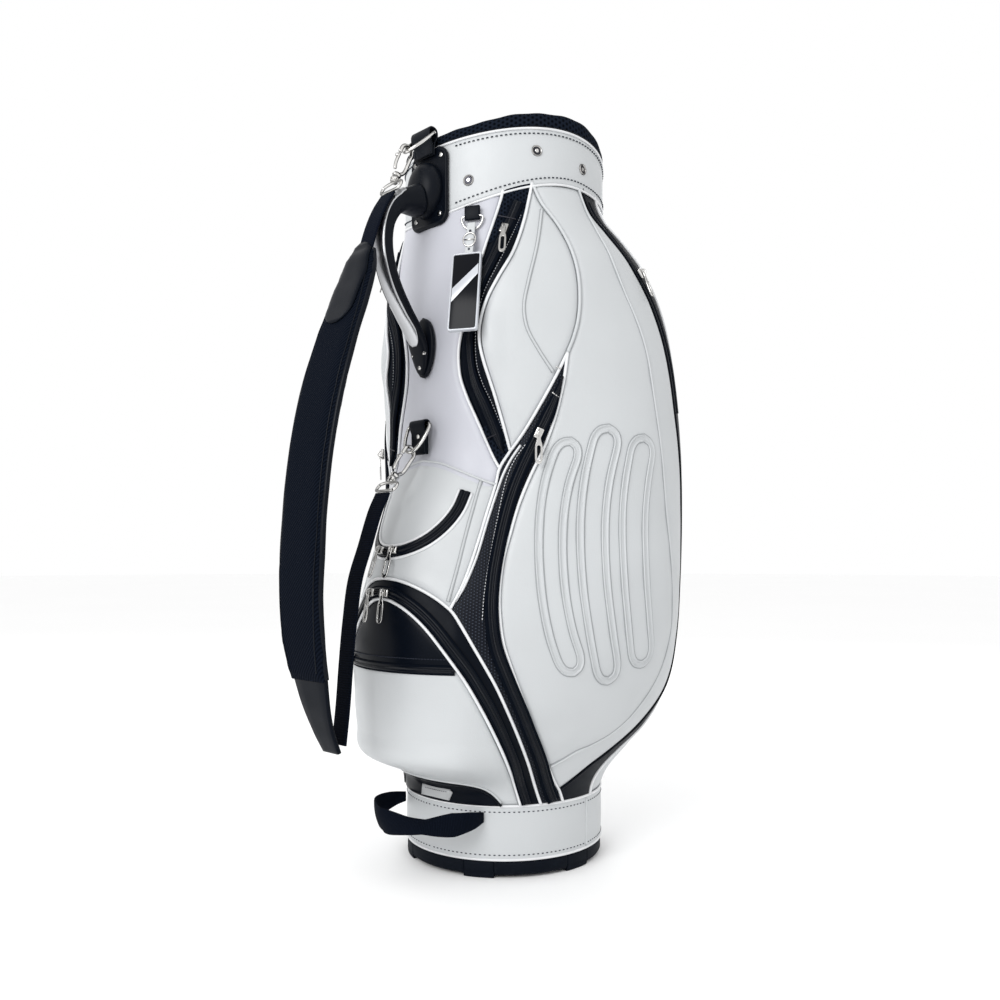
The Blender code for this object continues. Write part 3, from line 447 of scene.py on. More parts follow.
def outward(mesh):
    """Turns every face of a closed mesh outwards."""
    bm = bmesh.new()
    bm.from_mesh(mesh)
    bmesh.ops.recalc_face_normals(bm, faces=bm.faces)
    bm.to_mesh(mesh)
    bm.free()
    return mesh


def ruled(left, right, columns):
    """Rows of (angle, height) points from one curve to another of equal length."""
    share = np.linspace(0, 1, columns)[None, :, None]
    return left[:, None, :] * (1 - share) + right[:, None, :] * share


def edge_distance(points):
    """How far each point of a grid is from the grid's nearest edge, along its row or column."""
    along = np.linalg.norm(np.diff(points, axis=1), axis=2)
    down = np.linalg.norm(np.diff(points, axis=0), axis=2)
    x = np.hstack((np.zeros((len(points), 1)), np.cumsum(along, axis=1)))
    y = np.vstack((np.zeros((1, points.shape[1])), np.cumsum(down, axis=0)))
    return np.minimum.reduce((x, x[:, -1:] - x, y, y[-1:] - y))


def panel(name, grid, material, tuck=0.0026, puff=0.0008, lift=0.0, thick=0.0014):
    """A sewn panel over a grid of (angle, height) points, pulled in at its seams and full between them."""
    rows, columns = grid.shape[:2]
    flat = grid.reshape(-1, 2)
    points, normals = on_surface(skin_radius, flat[:, 0], flat[:, 1])
    points = points.reshape(rows, columns, 3)
    normals = normals.reshape(rows, columns, 3)
    distance = edge_distance(points)
    waves = np.sin(points[..., 0] * 61 + points[..., 2] * 43) * np.sin(points[..., 2] * 71 - points[..., 1]
                                                                       * 37)
    full = puff * (1 - np.exp(-distance / 0.018)) * (0.8 + 0.3 * waves)
    rise = lift - tuck * np.exp(-((distance / 0.0040) ** 2)) + full
    points = points + normals * rise[..., None]
    across = points[rows // 2, columns // 2 + 1] - points[rows // 2, columns // 2]
    down = points[rows // 2 + 1, columns // 2] - points[rows // 2, columns // 2]
    if np.cross(across, down) @ normals[rows // 2, columns // 2] < 0:
        points = points[::-1]
        grid = grid[::-1]
    sheet = grid * (math.radians(1) * 0.16, 1.0)
    obj = new_piece(name, grid_mesh(name, points, sheet=sheet), material)
    wall = obj.modifiers.new("thickness", "SOLIDIFY")
    wall.thickness = thick
    wall.offset = -1.0
    wall.use_even_offset = False
    return obj


def round_profile(radius, lift, count=10, flat=1.0):
    """A round section as (offset, lift) points."""
    turn = np.linspace(0, 2 * math.pi, count, endpoint=False)
    return np.column_stack((radius * np.cos(turn), lift + radius * flat * np.sin(turn)))


def tape_profile(width, low, high):
    half, edge = width / 2, 0.0005
    return np.array(
        ((-half, low), (-half, high - edge), (-half + edge, high), (0, high), (half - edge, high),
         (half, high - edge),
         (half, low), (0, low))
    )


def strip_rings(path, profile, surface, closed=False):
    """profile is a list of (offset, lift) points, or one such list for each point of the path."""
    centres, normals = on_surface(surface, path[:, 0], path[:, 1])
    tangents = directions(centres, closed)
    sides = np.cross(normals, tangents)
    profile = np.asarray(profile, float)
    if profile.ndim == 2:
        profile = np.broadcast_to(profile, (len(path), *profile.shape))
    rings = []
    for spot in range(profile.shape[1]):
        beside = centres + sides * profile[:, spot, :1]
        angles = np.degrees(np.arctan2(beside[:, 0], -beside[:, 1]))
        points, out = on_surface(surface, angles, beside[:, 2])
        rings.append(points + out * profile[:, spot, 1:])
    return np.stack(rings, axis=1)


def tapered(profile, path, start=0.0, end=0.0):
    """The profile for each point of a skin path, narrowing over the first and last metres given."""
    lengths = lengths_along(on_surface(skin_radius, path[:, 0], path[:, 1])[0])
    scale = np.ones(len(path))
    if start:
        scale *= np.clip(lengths / start, 0.04, 1) ** 0.8
    if end:
        scale *= np.clip((lengths[-1] - lengths) / end, 0.04, 1) ** 0.8
    profile = np.broadcast_to(np.asarray(profile, float), (len(path), *np.shape(profile))).copy()
    profile[..., 0] *= scale[:, None]
    return profile


def strip(name, path, profile, material, surface=skin_radius, closed=False):
    """A profile of (offset, lift) points drawn along (angle, height) points of a surface."""
    rings = strip_rings(path, profile, surface, closed)
    mesh = outward(grid_mesh(name, rings, around_columns=True, around_rows=closed, caps=not closed))
    return new_piece(name, mesh, material)


def piping(name, path, material=WHITE_VINYL, radius=0.0018, lift=0.0001):
    return strip(name, path, round_profile(radius, lift), material)


def stitches(name, path, material, lift, pitch, length=0.0028, radius=0.00050, surface=skin_radius):
    """A line of single stitches, joined into one mesh."""
    shifted = strip_rings(path, [(0.0, lift)], surface)[:, 0]
    spots = lengths_along(shifted)
    starts = np.arange(pitch / 2, spots[-1] - length, pitch)
    rings = []
    for share, sink in ((0.0, -0.0006), (0.2, 0.0002), (0.5, 0.0003), (0.8, 0.0002), (1.0, -0.0006)):
        middle = read_along(starts + share * length, spots, shifted)
        ahead = read_along(starts + share * length + 0.001, spots, shifted)
        tangent = ahead - middle
        tangent /= np.linalg.norm(tangent, axis=1)[:, None]
        out = np.column_stack((middle[:, 0], middle[:, 1], np.zeros(len(middle))))
        out /= np.linalg.norm(out, axis=1)[:, None]
        side = np.cross(out, tangent)
        side /= np.linalg.norm(side, axis=1)[:, None]
        spokes = [(1, 0), (0.5, 0.87), (-0.5, 0.87), (-1, 0), (-0.5, -0.87), (0.5, -0.87)]
        ring = [middle + side * (c * radius) + out * (s * radius + sink) for c, s in spokes]
        rings.append(np.stack(ring, axis=1))
    points = np.stack(rings, axis=1)
    count, depth, sides = points.shape[:3]
    index = np.arange(count * depth * sides).reshape(count, depth, sides)
    turned = np.roll(index, -1, axis=2)
    quads = np.stack((index[:, :-1], turned[:, :-1], turned[:, 1:], index[:, 1:]), axis=-1).reshape(-1, 4)
    mesh = bpy.data.meshes.new(name)
    ends = index[:, 0, ::-1].tolist() + index[:, -1].tolist()
    mesh.from_pydata(points.reshape(-1, 3).tolist(), [], quads.tolist() + ends)
    return new_piece(name, outward(mesh), material)


def directions(points, closed=False):
    """The unit direction of a line at each of its points."""
    if closed:
        tangents = np.roll(points, -1, axis=0) - np.roll(points, 1, axis=0)
    else:
        tangents = np.gradient(points, axis=0)
    return tangents / np.linalg.norm(tangents, axis=1)[:, None]


def ribbon(name, points, across, sections, material, body):
    """A strap along a path. across is its width direction, and sections hold (offset, depth) points."""
    points = np.asarray(points, float)
    tangents = directions(points)
    across = np.broadcast_to(np.asarray(across, float), points.shape)
    side = across - tangents * (across * tangents).sum(axis=1)[:, None]
    side /= np.linalg.norm(side, axis=1)[:, None]
    face = np.cross(tangents, side)
    sections = np.asarray(sections, float)
    if sections.ndim == 2:
        sections = np.broadcast_to(sections, (len(points), *sections.shape))
    rings = points[:, None] + side[:, None] * sections[..., :1] + face[:, None] * sections[..., 1:]
    return new_piece(name, outward(grid_mesh(name, rings, around_columns=True, caps=True)), material, body)


def oval(width, depth, count=20, power=0.6):
    turn = np.linspace(0, 2 * math.pi, count, endpoint=False)
    c, s = np.cos(turn), np.sin(turn)
    return np.column_stack((np.sign(c) * abs(c) ** power * width / 2,
                            np.sign(s) * abs(s) ** power * depth / 2))


def tube(name, points, radius, material, body="bag", closed=False, sides=14, step=0.0012, smooth=True):
    """A bent wire through the points."""
    points = np.asarray([tuple(p) for p in points], float)
    if closed:
        ends = 3
        wrapped = np.concatenate((points[-ends:], points, points[:ends]))
        knots = lengths_along(wrapped)
        count = max(12, int((knots[-ends - 1] - knots[ends]) / step)) if smooth else len(points)
        spots = np.linspace(knots[ends], knots[-ends], count, endpoint=False)
        line = spline_weights(knots, spots, False) @ wrapped if smooth else points
    else:
        line = smooth_line(points, step) if smooth else points
    tangents = directions(line, closed)
    rings = []
    side = np.cross(tangents[0], (0.31, 0.87, 0.38))
    for point, tangent in zip(line, tangents):
        side = side - tangent * (side @ tangent)
        side /= np.linalg.norm(side)
        up = np.cross(tangent, side)
        turn = np.linspace(0, 2 * math.pi, sides, endpoint=False)[:, None]
        rings.append(point + (side * np.cos(turn) + up * np.sin(turn)) * radius)
    mesh = grid_mesh(name, np.array(rings), around_columns=True, around_rows=closed, caps=not closed)
    return new_piece(name, outward(mesh), material, body)


def plaque(name, centre, outline, rings, material, surface, lift=0.0):
    """A low solid on a surface. outline holds (arc, height) points; rings are (scale, lift), edge first."""
    angle, height = centre
    degrees = math.degrees(1 / surface(np.array([angle]), np.array([height]))[0])
    outline = np.asarray(outline, float)
    rows = []
    for scale, rise in [(rings[0][0], -0.0006 - lift), *rings]:
        spots = outline * scale
        rows.append(on_surface(surface, angle + spots[:, 0] * degrees, height + spots[:, 1], lift + rise)[0])
    mesh = grid_mesh(name, np.array(rows), around_columns=True, caps=True)
    return new_piece(name, outward(mesh), material)


def rounded_box(width, height, corner):
    """A rectangle's outline with round corners."""
    points = []
    for k, (sx, sy) in enumerate(((1, 1), (-1, 1), (-1, -1), (1, -1))):
        for turn in np.radians(np.linspace(90 * k, 90 * k + 90, 6)):
            x = sx * (width / 2 - corner) + corner * math.cos(turn)
            points.append((x, sy * (height / 2 - corner) + corner * math.sin(turn)))
    return np.array(points)


def frame_matrix(origin, x_axis, z_axis):
    """A place whose X and Z run along the given directions."""
    z = Vector(z_axis).normalized()
    x = Vector(x_axis)
    x = (x - z * x.dot(z)).normalized()
    return Matrix.Translation(Vector(origin)) @ Matrix((x, z.cross(x), z)).transposed().to_4x4()


def flat_piece(name, outlines, thickness, place, material, body, edge):
    """Flat outlines, the later ones holes in the first, with thickness along the place's Z."""
    curve = bpy.data.curves.new(name, "CURVE")
    curve.dimensions = "2D"
    curve.fill_mode = "BOTH"
    curve.extrude = thickness / 2 - edge
    curve.bevel_depth = edge
    curve.bevel_resolution = 2
    curve.offset = -edge
    for outline in outlines:
        spline = curve.splines.new("POLY")
        spline.points.add(len(outline) - 1)
        for point, (x, y) in zip(spline.points, outline):
            point.co = (x, y, 0.0, 1.0)
        spline.use_cyclic_u = True
    guide = bpy.data.objects.new(name + "_outline", curve)
    bpy.context.scene.collection.objects.link(guide)
    mesh = bpy.data.meshes.new_from_object(guide.evaluated_get(bpy.context.evaluated_depsgraph_get()))
    bpy.data.objects.remove(guide, do_unlink=True)
    bm = bmesh.new()
    bm.from_mesh(mesh)
    bmesh.ops.remove_doubles(bm, verts=bm.verts, dist=1e-6)
    bmesh.ops.transform(bm, matrix=place, verts=bm.verts)
    bmesh.ops.recalc_face_normals(bm, faces=bm.faces)
    bm.to_mesh(mesh)
    bm.free()
    obj = new_piece(name, mesh, material, body)
    mesh.set_sharp_from_angle(angle=math.radians(38))
    return obj


def block(name, size, place, material, body="bag", edge=0.001, segments=3):
    """A box with rounded edges."""
    mesh = bpy.data.meshes.new(name)
    bm = bmesh.new()
    bmesh.ops.create_cube(bm, size=1.0, matrix=Matrix.Diagonal((*size, 1.0)))
    bmesh.ops.bevel(bm, geom=bm.edges[:], offset=edge, segments=segments, affect="EDGES", profile=0.5)
    bmesh.ops.transform(bm, matrix=place, verts=bm.verts)
    bm.to_mesh(mesh)
    bm.free()
    obj = new_piece(name, mesh, material, body)
    mesh.set_sharp_from_angle(angle=math.radians(40))
    return obj


def turned(name, profile, place, material, body="bag", steps=28, slot=None):
    """A (radius, height) profile turned about the place's Z."""
    turn = np.linspace(0, 2 * math.pi, steps, endpoint=False)
    rows = [np.column_stack((r * np.cos(turn), r * np.sin(turn), np.full(steps, z))) for r, z in profile]
    mesh = grid_mesh(name, np.array(rows), around_columns=True, caps=True)
    mesh.transform(place)
    obj = new_piece(name, outward(mesh), material, body)
    obj.data.set_sharp_from_angle(angle=math.radians(35))
    return obj


# ---- seams of the right side; the left side mirrors them ----
SPINE_SEAM = (
    (43.5, 0.780), (42.3, 0.768), (27, 0.654), (20.8, 0.605), (21.2, 0.572), (25.3, 0.545), (30, 0.522),
    (34.5, 0.499), (38.8, 0.477), (42, 0.463),
)
BAND_SEAM = (
    (59, 0.790), (57.7, 0.777), (53.5, 0.741), (47.9, 0.703), (41.2, 0.673), (36.5, 0.649), (33.5, 0.622),
    (33.4, 0.603), (35.4, 0.580), (40.2, 0.541), (43.8, 0.510), (46.8, 0.482),
)
LEAF_EDGE = (
    (59, 0.790), (63.7, 0.766), (70.0, 0.741), (73.8, 0.711), (75.4, 0.683), (75.2, 0.653), (73.8, 0.627),
    (71.6, 0.606), (69.3, 0.590),
)
GUSSET_TOP = ((69.3, 0.590), (64, 0.559), (59, 0.533), (54, 0.509), (50.3, 0.494), (46.8, 0.482))
GUSSET_FRONT = (
    (46.8, 0.482), (42, 0.463), (40.3, 0.445), (36.9, 0.415), (34.2, 0.387), (31.4, 0.357), (28.7, 0.332),
    (25.3, 0.3075),
)
GUSSET_REAR = (
    (69.3, 0.590), (67.8, 0.558), (64.8, 0.521), (60.5, 0.485), (55, 0.453), (50.2, 0.422), (46.7, 0.392),
    (43.8, 0.363), (42.5, 0.335), (42.3, 0.309), (43.6, 0.274), (46.2, 0.248), (50, 0.217), (55.3, 0.179),
    (62.4, 0.141), (69.5, 0.112), (74.6, 0.097),
)
GUSSET_FOOT = ((74.6, 0.097), (76.2, 0.090), (77.6, 0.083))
ARCH_OUTER = (
    (64, 0.083), (58, 0.116), (52.3, 0.150), (46, 0.192), (40.7, 0.228), (34.6, 0.263), (28.8, 0.294),
    (25.3, 0.3075),
    (17, 0.3250), (8, 0.3370), (0, 0.3405),
)
ARCH_INNER = (
    (52.8, 0.083), (49.2, 0.1088), (45.7, 0.1339), (41.2, 0.1658), (36.1, 0.2017), (30.4, 0.2351),
    (24.1, 0.2637),
    (17.3, 0.2882), (10.3, 0.3062), (4.2, 0.3160), (0, 0.3180),
)
REAR_EDGE = (
    (93, 0.799), (96.5, 0.768), (100, 0.748), (104.5, 0.722), (107.3, 0.703), (110, 0.684), (112.3, 0.664),
    (114.8, 0.628), (116.8, 0.580), (119.5, 0.520), (122.5, 0.450), (125, 0.380), (126, 0.330),
    (125.8, 0.275),
    (122.5, 0.220), (115.5, 0.175), (104, 0.140), (90, 0.117), (81.9, 0.106), (74.6, 0.097),
)
BACK_EDGE = (
    (107, 0.799), (110.5, 0.768), (114.5, 0.740), (118.5, 0.710), (123, 0.676), (127, 0.630), (129.5, 0.580),
    (132, 0.520), (135, 0.450), (137.5, 0.380), (138.5, 0.330), (138, 0.275), (134.5, 0.225), (127, 0.185),
    (118.5, 0.155), (111.5, 0.136), (106, 0.119), (102, 0.101), (100.5, 0.083),
)
POCKET_TOP = ((0, 0.476), (12, 0.471), (24, 0.460), (34, 0.450), (40.3, 0.445))
VALUABLES_HEIGHT = 0.243
RECESS = ((0, 0.1075), (14, 0.107), (25, 0.1055), (33, 0.101), (38.5, 0.093), (42.5, 0.083))
SIDES = (("right", 1), ("left", -1))


def whole(half):
    """A symmetric curve from the left over the middle to the right, from its right half."""
    half = np.asarray(half, float)
    return np.concatenate((mirrored(half), half[::-1][1:]))


def make_spine():
    edge = joined(seam(SPINE_SEAM, count=70), seam(((42, 0.463), (40.3, 0.445), (38.6, 0.430)), count=8))
    spine = panel("spine_leather", ruled(mirrored(edge), edge, 41), SPINE_LEATHER)
    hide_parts("spine_panel")
    for word, side in SIDES:
        piping(f"spine_piping_{word}", seam(on_side(SPINE_SEAM, side)))


RIDGE = np.array(
    ((-0.0016, -0.0010), (-0.0012, 0.0005), (-0.0006, 0.0013), (0, 0.0015), (0.0006, 0.0013),
     (0.0012, 0.0005), (0.0016, -0.0010))
)
DOUBLE_RIDGE = np.array(
    ((-0.0048, -0.0012), (-0.0041, 0.0007), (-0.0033, 0.0017), (-0.0025, 0.0007), (-0.0016, -0.0003),
     (0.0016, -0.0003),
     (0.0025, 0.0007), (0.0033, 0.0017), (0.0041, 0.0007), (0.0048, -0.0012))
)


def emboss(name, path, profile, lift, closed=False):
    """A raised seam pressed into the white leather, with a flat strip of darker leather along each of its
    edges: painted shade standing for the shadow of a groove.
    """
    strip(name, path, profile + (0, lift), WHITE_LEATHER, closed=closed)
    half = profile[-1, 0]
    side = np.array(((-half - 0.0006, -0.0010), (-half - 0.0004, 0.0003), (-half + 0.0006, 0.0003),
                     (-half + 0.0008, -0.0007)))
    dark_strip = np.concatenate((side, side[::-1] * (-1, 1))) + (0, lift)
    # The two darker strips beside the seam are painted shade.
    strip(name + "_painted_shade", path, dark_strip, PAINTED_GROOVE_SHADE, closed=closed)


def make_upper_pocket(word, side):
    inner = on_side(seam(SPINE_SEAM, count=90), side)
    outer = on_side(seam(BAND_SEAM, count=90), side)
    panel(f"upper_band_{word}", ruled(inner, outer, 15), BLACK_LEATHER, puff=0.0002)
    for end, low, high in (("top", 0, 19), ("tip", 76, 90)):
        grid = ruled(inner[low:high], outer[low:high], 9)
        panel(f"upper_band_mesh_{end}_{word}", grid, RIM_MESH, tuck=0.0004, puff=0.0004, lift=0.0009,
              thick=0.0009)
    top, tip = seam(LEAF_EDGE, count=52), seam(GUSSET_TOP, count=34)
    edge = on_side(joined(top, tip), side)
    grid = ruled(on_side(seam(BAND_SEAM, count=85), side), edge, 33)
    panel(f"upper_pocket_leaf_{word}", grid, WHITE_LEATHER)
    piping(f"band_piping_{word}", outer)
    piping(f"leaf_piping_{word}", on_side(top, side), WHITE_LEATHER, 0.0019, -0.0002)
    crease = on_side(seam(((63, 0.757), (58, 0.705), (54.2, 0.668), (52.2, 0.640), (53.4, 0.616),
                           (58, 0.592), (63.7, 0.568))), side)
    emboss(f"leaf_crease_{word}", crease, RIDGE, 0.0009)


SLATS = (
    ((70.5, 0.492), (65.3, 0.445), (62.6, 0.392), (62.4, 0.335), (64.8, 0.283), (70.0, 0.238)),
    ((84.5, 0.508), (80.2, 0.453), (78.1, 0.395), (78.2, 0.335), (80.6, 0.276), (85.0, 0.226)),
    ((98.0, 0.500), (95.0, 0.452), (93.5, 0.397), (93.7, 0.338), (95.6, 0.284), (98.8, 0.242)),
)
SLAT_HALF = 0.0118


def slat_outline(centre):
    """A closed (angle, height) outline round a centre line, with round ends."""
    line = seam(centre, count=90) * FLAT_SCALE
    tangents = directions(line)
    normals = np.column_stack((-tangents[:, 1], tangents[:, 0]))
    lengths = lengths_along(line)
    to_end = np.minimum(lengths, lengths[-1] - lengths)
    near = np.clip(1 - to_end / 0.022, 0, 1)
    half = SLAT_HALF * np.sqrt(np.clip(1 - near**2.4, 0.0, 1))[:, None]
    loop = np.concatenate((line + normals * half, (line - normals * half)[1:-1][::-1]))
    flat = np.concatenate((loop, loop[:1]))
    lengths = lengths_along(flat)
    spots = np.linspace(0, lengths[-1], int(lengths[-1] / SEAM_STEP), endpoint=False)
    return read_along(spots, lengths, flat) / FLAT_SCALE


def make_garment_pocket(word, side):
    front = on_side(joined(seam(LEAF_EDGE, count=46), seam(GUSSET_REAR, count=120)), side)
    rear = on_side(seam(REAR_EDGE, count=165), side)
    leather_panel = panel(
        f"garment_leather_{word}", ruled(front, rear, 75), WHITE_LEATHER, puff=0.0014
    )
    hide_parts(f"side_pocket_{word}")
    piping(f"garment_piping_{word}", on_side(joined(seam(GUSSET_REAR), seam(GUSSET_FOOT)), side))
    piping(f"garment_rear_piping_{word}", on_side(seam(REAR_EDGE), side), BLACK_VINYL, 0.0013)
    rear_seam = seam(
        ((88.9, 0.796), (90.6, 0.774), (91.9, 0.734), (93.9, 0.696), (96.4, 0.666), (99, 0.640),
         (101, 0.611), (103, 0.561),
         (105.4, 0.499), (108.5, 0.420), (113, 0.330), (113.5, 0.270), (109, 0.215), (102, 0.180),
         (94.4, 0.162),
         (85, 0.150), (78.5, 0.145), (72.2, 0.136), (66.4, 0.129))
    )
    emboss(f"garment_rear_seam_{word}", on_side(rear_seam, side), RIDGE, 0.0014)
    for index, centre in enumerate(SLATS):
        outline = on_side(slat_outline(centre), side)
        emboss(f"garment_ridge_{index}_{word}", outline, DOUBLE_RIDGE, 0.0014, closed=True)


def make_gusset(word, side):
    upper = joined(seam(GUSSET_TOP, count=34), seam(GUSSET_FRONT, count=46),
                   seam(ARCH_OUTER[:8][::-1], count=70))
    rear = joined(seam(GUSSET_REAR, count=138), seam(GUSSET_FOOT, count=11))
    upper[0] = upper[0] + (-0.25, 0.0)
    rear[0] = rear[0] + (0.25, 0.0)
    grid = ruled(on_side(upper, side), on_side(rear, side), 21)
    panel(f"gusset_mesh_{word}", grid, GUSSET_MESH, tuck=0.0010, puff=0.0002)
    front = joined(seam(GUSSET_TOP), seam(GUSSET_FRONT))
    piping(f"gusset_piping_{word}", on_side(front, side))
    inner = seam(((51.3, 0.488), (46.6, 0.470), (42.8, 0.450), (37.4, 0.407), (33.2, 0.362), (29.0, 0.3275),
                  (27.2, 0.3150)))
    welt = tapered(RIDGE + (0, 0.0012), inner, end=0.020)
    strip(f"gusset_welt_{word}", on_side(inner, side), welt, WHITE_VINYL)
    dots = seam(((53.6, 0.490), (48.6, 0.471), (45.0, 0.449), (41.3, 0.407), (38.6, 0.365), (36.9, 0.327),
                 (36.4, 0.296)))
    stitches(f"gusset_stitches_{word}", on_side(dots, side), LIGHT_THREAD, 0.0012, 0.0036, length=0.0022)
    for index, (start, end) in enumerate((((66.6, 0.571), (64.6, 0.573)), ((63.2, 0.545), (65.6, 0.540)))):
        bar = on_side(seam((start, end), count=6), side)
        strip(f"gusset_bar_{index}_{word}", bar, round_profile(0.0007, 0.0040, 8), NICKEL)


def make_front_pocket():
    right = seam(GUSSET_FRONT[2:], count=46)
    left = mirrored(right)
    top = seam(POCKET_TOP, count=31)
    bottom = seam(ARCH_OUTER[7:][::-1], count=31)
    top, bottom = (joined(mirrored(line[::-1]), line) for line in (top, bottom))
    across = np.linspace(0, 1, len(top))[None, :, None]
    down = np.linspace(0, 1, len(right))[:, None, None]
    grid = ruled(left, right, len(top)) + top[None] * (1 - down) + bottom[None] * down
    high, low = ((1 - across) * line[0] + across * line[-1] for line in (top, bottom))
    corners = (1 - down) * high + down * low
    front = panel("front_pocket_leather", grid - corners, WHITE_LEATHER, lift=0.0008)
    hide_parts("front_pocket")
    piping("front_pocket_piping", top, WHITE_LEATHER, 0.0015, 0.0010)
    side_seam = seam(((33.4, 0.449), (31.6, 0.429), (28.9, 0.393), (26.4, 0.350), (24.4, 0.316)))
    for word, side in SIDES:
        emboss(f"front_pocket_seam_{word}", on_side(side_seam, side), RIDGE, 0.0015)


def make_ball_pocket():
    outer, inner = seam(whole(ARCH_OUTER), count=161), seam(whole(ARCH_INNER), count=161)
    panel("ball_pocket_gusset", ruled(outer, inner, 11), BLACK_LEATHER, tuck=0.0006, puff=0.0)
    piping("ball_piping_outer", outer, WHITE_VINYL, 0.0018, 0.0006)
    piping("ball_piping_inner", inner, WHITE_VINYL, 0.0018, 0.0006)
    half = seam(ARCH_INNER, count=200)
    upper = half[half[:, 1] >= VALUABLES_HEIGHT - 0.001]
    crown = joined(mirrored(upper), upper[::-1])
    base = np.column_stack((crown[:, 0], np.full(len(crown), VALUABLES_HEIGHT - 0.001)))
    panel("ball_pocket_top", ruled(base, crown, 31), BLACK_LEATHER, tuck=0.0012)
    lower = half[half[:, 1] <= VALUABLES_HEIGHT][::-1]
    lower[0, 1] = VALUABLES_HEIGHT - 0.0015
    front = panel("ball_pocket_leather", ruled(mirrored(lower), lower, 61), WHITE_LEATHER)
    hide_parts("ball_pocket")
    recess = seam(RECESS, count=30)
    arch = joined(mirrored(recess[::-1]), recess)
    floor = np.column_stack((arch[:, 0], np.full(len(arch), 0.0828)))
    panel("grab_recess", ruled(floor, arch, 9), BLACK_LEATHER, tuck=0.0002, puff=0.0, lift=0.0012)
    strip("grab_recess_piping", arch, round_profile(0.0015, 0.0016), BLACK_VINYL)
    strip("grab_recess_welt", arch + (0, 0.0036), round_profile(0.0014, 0.0010), WHITE_LEATHER)
    line = seam(((-25.5, 0.2545), (0, 0.2545), (25.5, 0.2545)))
    stitches("ball_pocket_stitches", line, DARK_THREAD, 0.0010, 0.0036)


def make_back():
    for word, side in SIDES:
        front = joined(seam(REAR_EDGE, count=160), seam(GUSSET_FOOT, count=8))
        rear = seam(BACK_EDGE, count=167)
        grid = ruled(on_side(front, side), on_side(rear, side), 21)
        panel(f"rear_gusset_{word}", grid, WEDGE_LEATHER, tuck=0.0010, puff=0.0004)
        piping(f"back_piping_{word}", on_side(rear, side))
        line = seam(((150, 0.786), (152, 0.740), (153, 0.640), (153, 0.500), (153, 0.340), (152, 0.220),
                     (150, 0.120)))
        emboss(f"back_seam_{word}", on_side(line, side), DOUBLE_RIDGE, 0.0009)
    right = seam(BACK_EDGE, count=150)
    left = np.column_stack((360 - right[:, 0], right[:, 1]))
    back = panel("back_leather", ruled(right, left, 81), WHITE_LEATHER, puff=0.0010)
    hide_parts("back_panel")
    for index, height in enumerate((0.640, 0.300)):
        line = seam(((154, height), (167, height - 0.008), (180, height - 0.011), (193, height - 0.008),
                     (206, height)))
        emboss(f"back_cross_seam_{index}", line, DOUBLE_RIDGE, 0.0009)


# ---- zips ----
BALL_ZIP = whole(
    ((56.1, 0.0855), (52.1, 0.1115), (48.6, 0.1366), (44.1, 0.1686), (38.9, 0.2047), (33.1, 0.2387),
     (26.7, 0.268), (19.6, 0.2934),
     (12.2, 0.3124), (5, 0.3240), (0, 0.3260))
)
FRONT_ZIP = whole(((27, 0.437), (24.5, 0.417), (20, 0.398), (14, 0.382), (7, 0.372), (0, 0.369)))
GARMENT_ZIP = (
    (67.3, 0.563), (63.5, 0.532), (58.5, 0.500), (52.8, 0.467), (48, 0.436), (44.4, 0.405), (41.7, 0.372),
    (39.9, 0.338), (39.5, 0.303), (41, 0.268), (44.8, 0.236), (49.5, 0.203), (55, 0.167), (61.5, 0.132),
    (67.4, 0.102), (70.9, 0.0862),
)
UPPER_ZIP = (
    (51, 0.764), (46, 0.735), (40.3, 0.703), (35, 0.675), (30.7, 0.645), (28, 0.613), (28.4, 0.583),
    (31.6, 0.555),
    (35.6, 0.532), (40, 0.506), (44, 0.480),
)
REAR_ZIP = (
    (98.5, 0.785), (102, 0.760), (106, 0.728), (110, 0.700), (113, 0.684), (115.3, 0.664), (118, 0.630),
    (120, 0.590),
    (122.5, 0.540),
)
VALUABLES_ZIP = ((-28, VALUABLES_HEIGHT), (0, VALUABLES_HEIGHT), (28, VALUABLES_HEIGHT))
TEETH_PITCH = 0.0016
TEETH_WIDTH = 0.0022


def zip_teeth(name, path, lift):
    """Rows of small cross ridges, as a coil zip shows them."""
    lengths = lengths_along(strip_rings(path, [(0.0, 0.0)], skin_radius)[:, 0])
    count = int(lengths[-1] / TEETH_PITCH) * 4
    places = np.interp(np.linspace(0, lengths[-1], count), lengths, np.arange(len(path)))
    dense = read_along(places, np.arange(len(path)), path)
    half = TEETH_WIDTH / 2
    rings = strip_rings(dense, [(-half, lift - 0.0006), (-half, lift), (0, lift), (half, lift),
                                (half, lift - 0.0006)], skin_radius)
    crests = np.array((0.0, 1.0, 1.0, 0.0))[np.arange(count) % 4] * 0.0006
    middle = rings[:, 2:3]
    out = middle - strip_rings(dense, [(0.0, lift - 0.001)], skin_radius)
    out /= np.linalg.norm(out, axis=2)[..., None]
    rings[:, 1:4] += out * crests[:, None, None]
    return new_piece(name, outward(grid_mesh(name, rings, around_columns=True, caps=True)), TEETH)


def make_zip(name, path, width, lift, node, ridge=0.0034, start=0.0, end=0.0):
    """Tape, two covering ridges and the teeth between them."""
    thickness = 0.0016 if lift > 0.001 else 0.0009
    profile = tapered(tape_profile(width, lift - 0.0008, lift + thickness), path, start, end)
    tape = strip(name, path, profile, TAPE)
    if node:
        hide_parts(node)
    top = lift + thickness
    offset = ridge / 2 + 0.0009
    for word, side in (("inner", -1), ("outer", 1)):
        bead = round_profile(ridge / 2, top - 0.0002, 12, 0.72) + (offset * side, 0)
        strip(f"{name}_ridge_{word}", path, tapered(bead, path, start, end), BLACK_VINYL)
    zip_teeth(f"{name}_teeth", path, top + 0.0001)


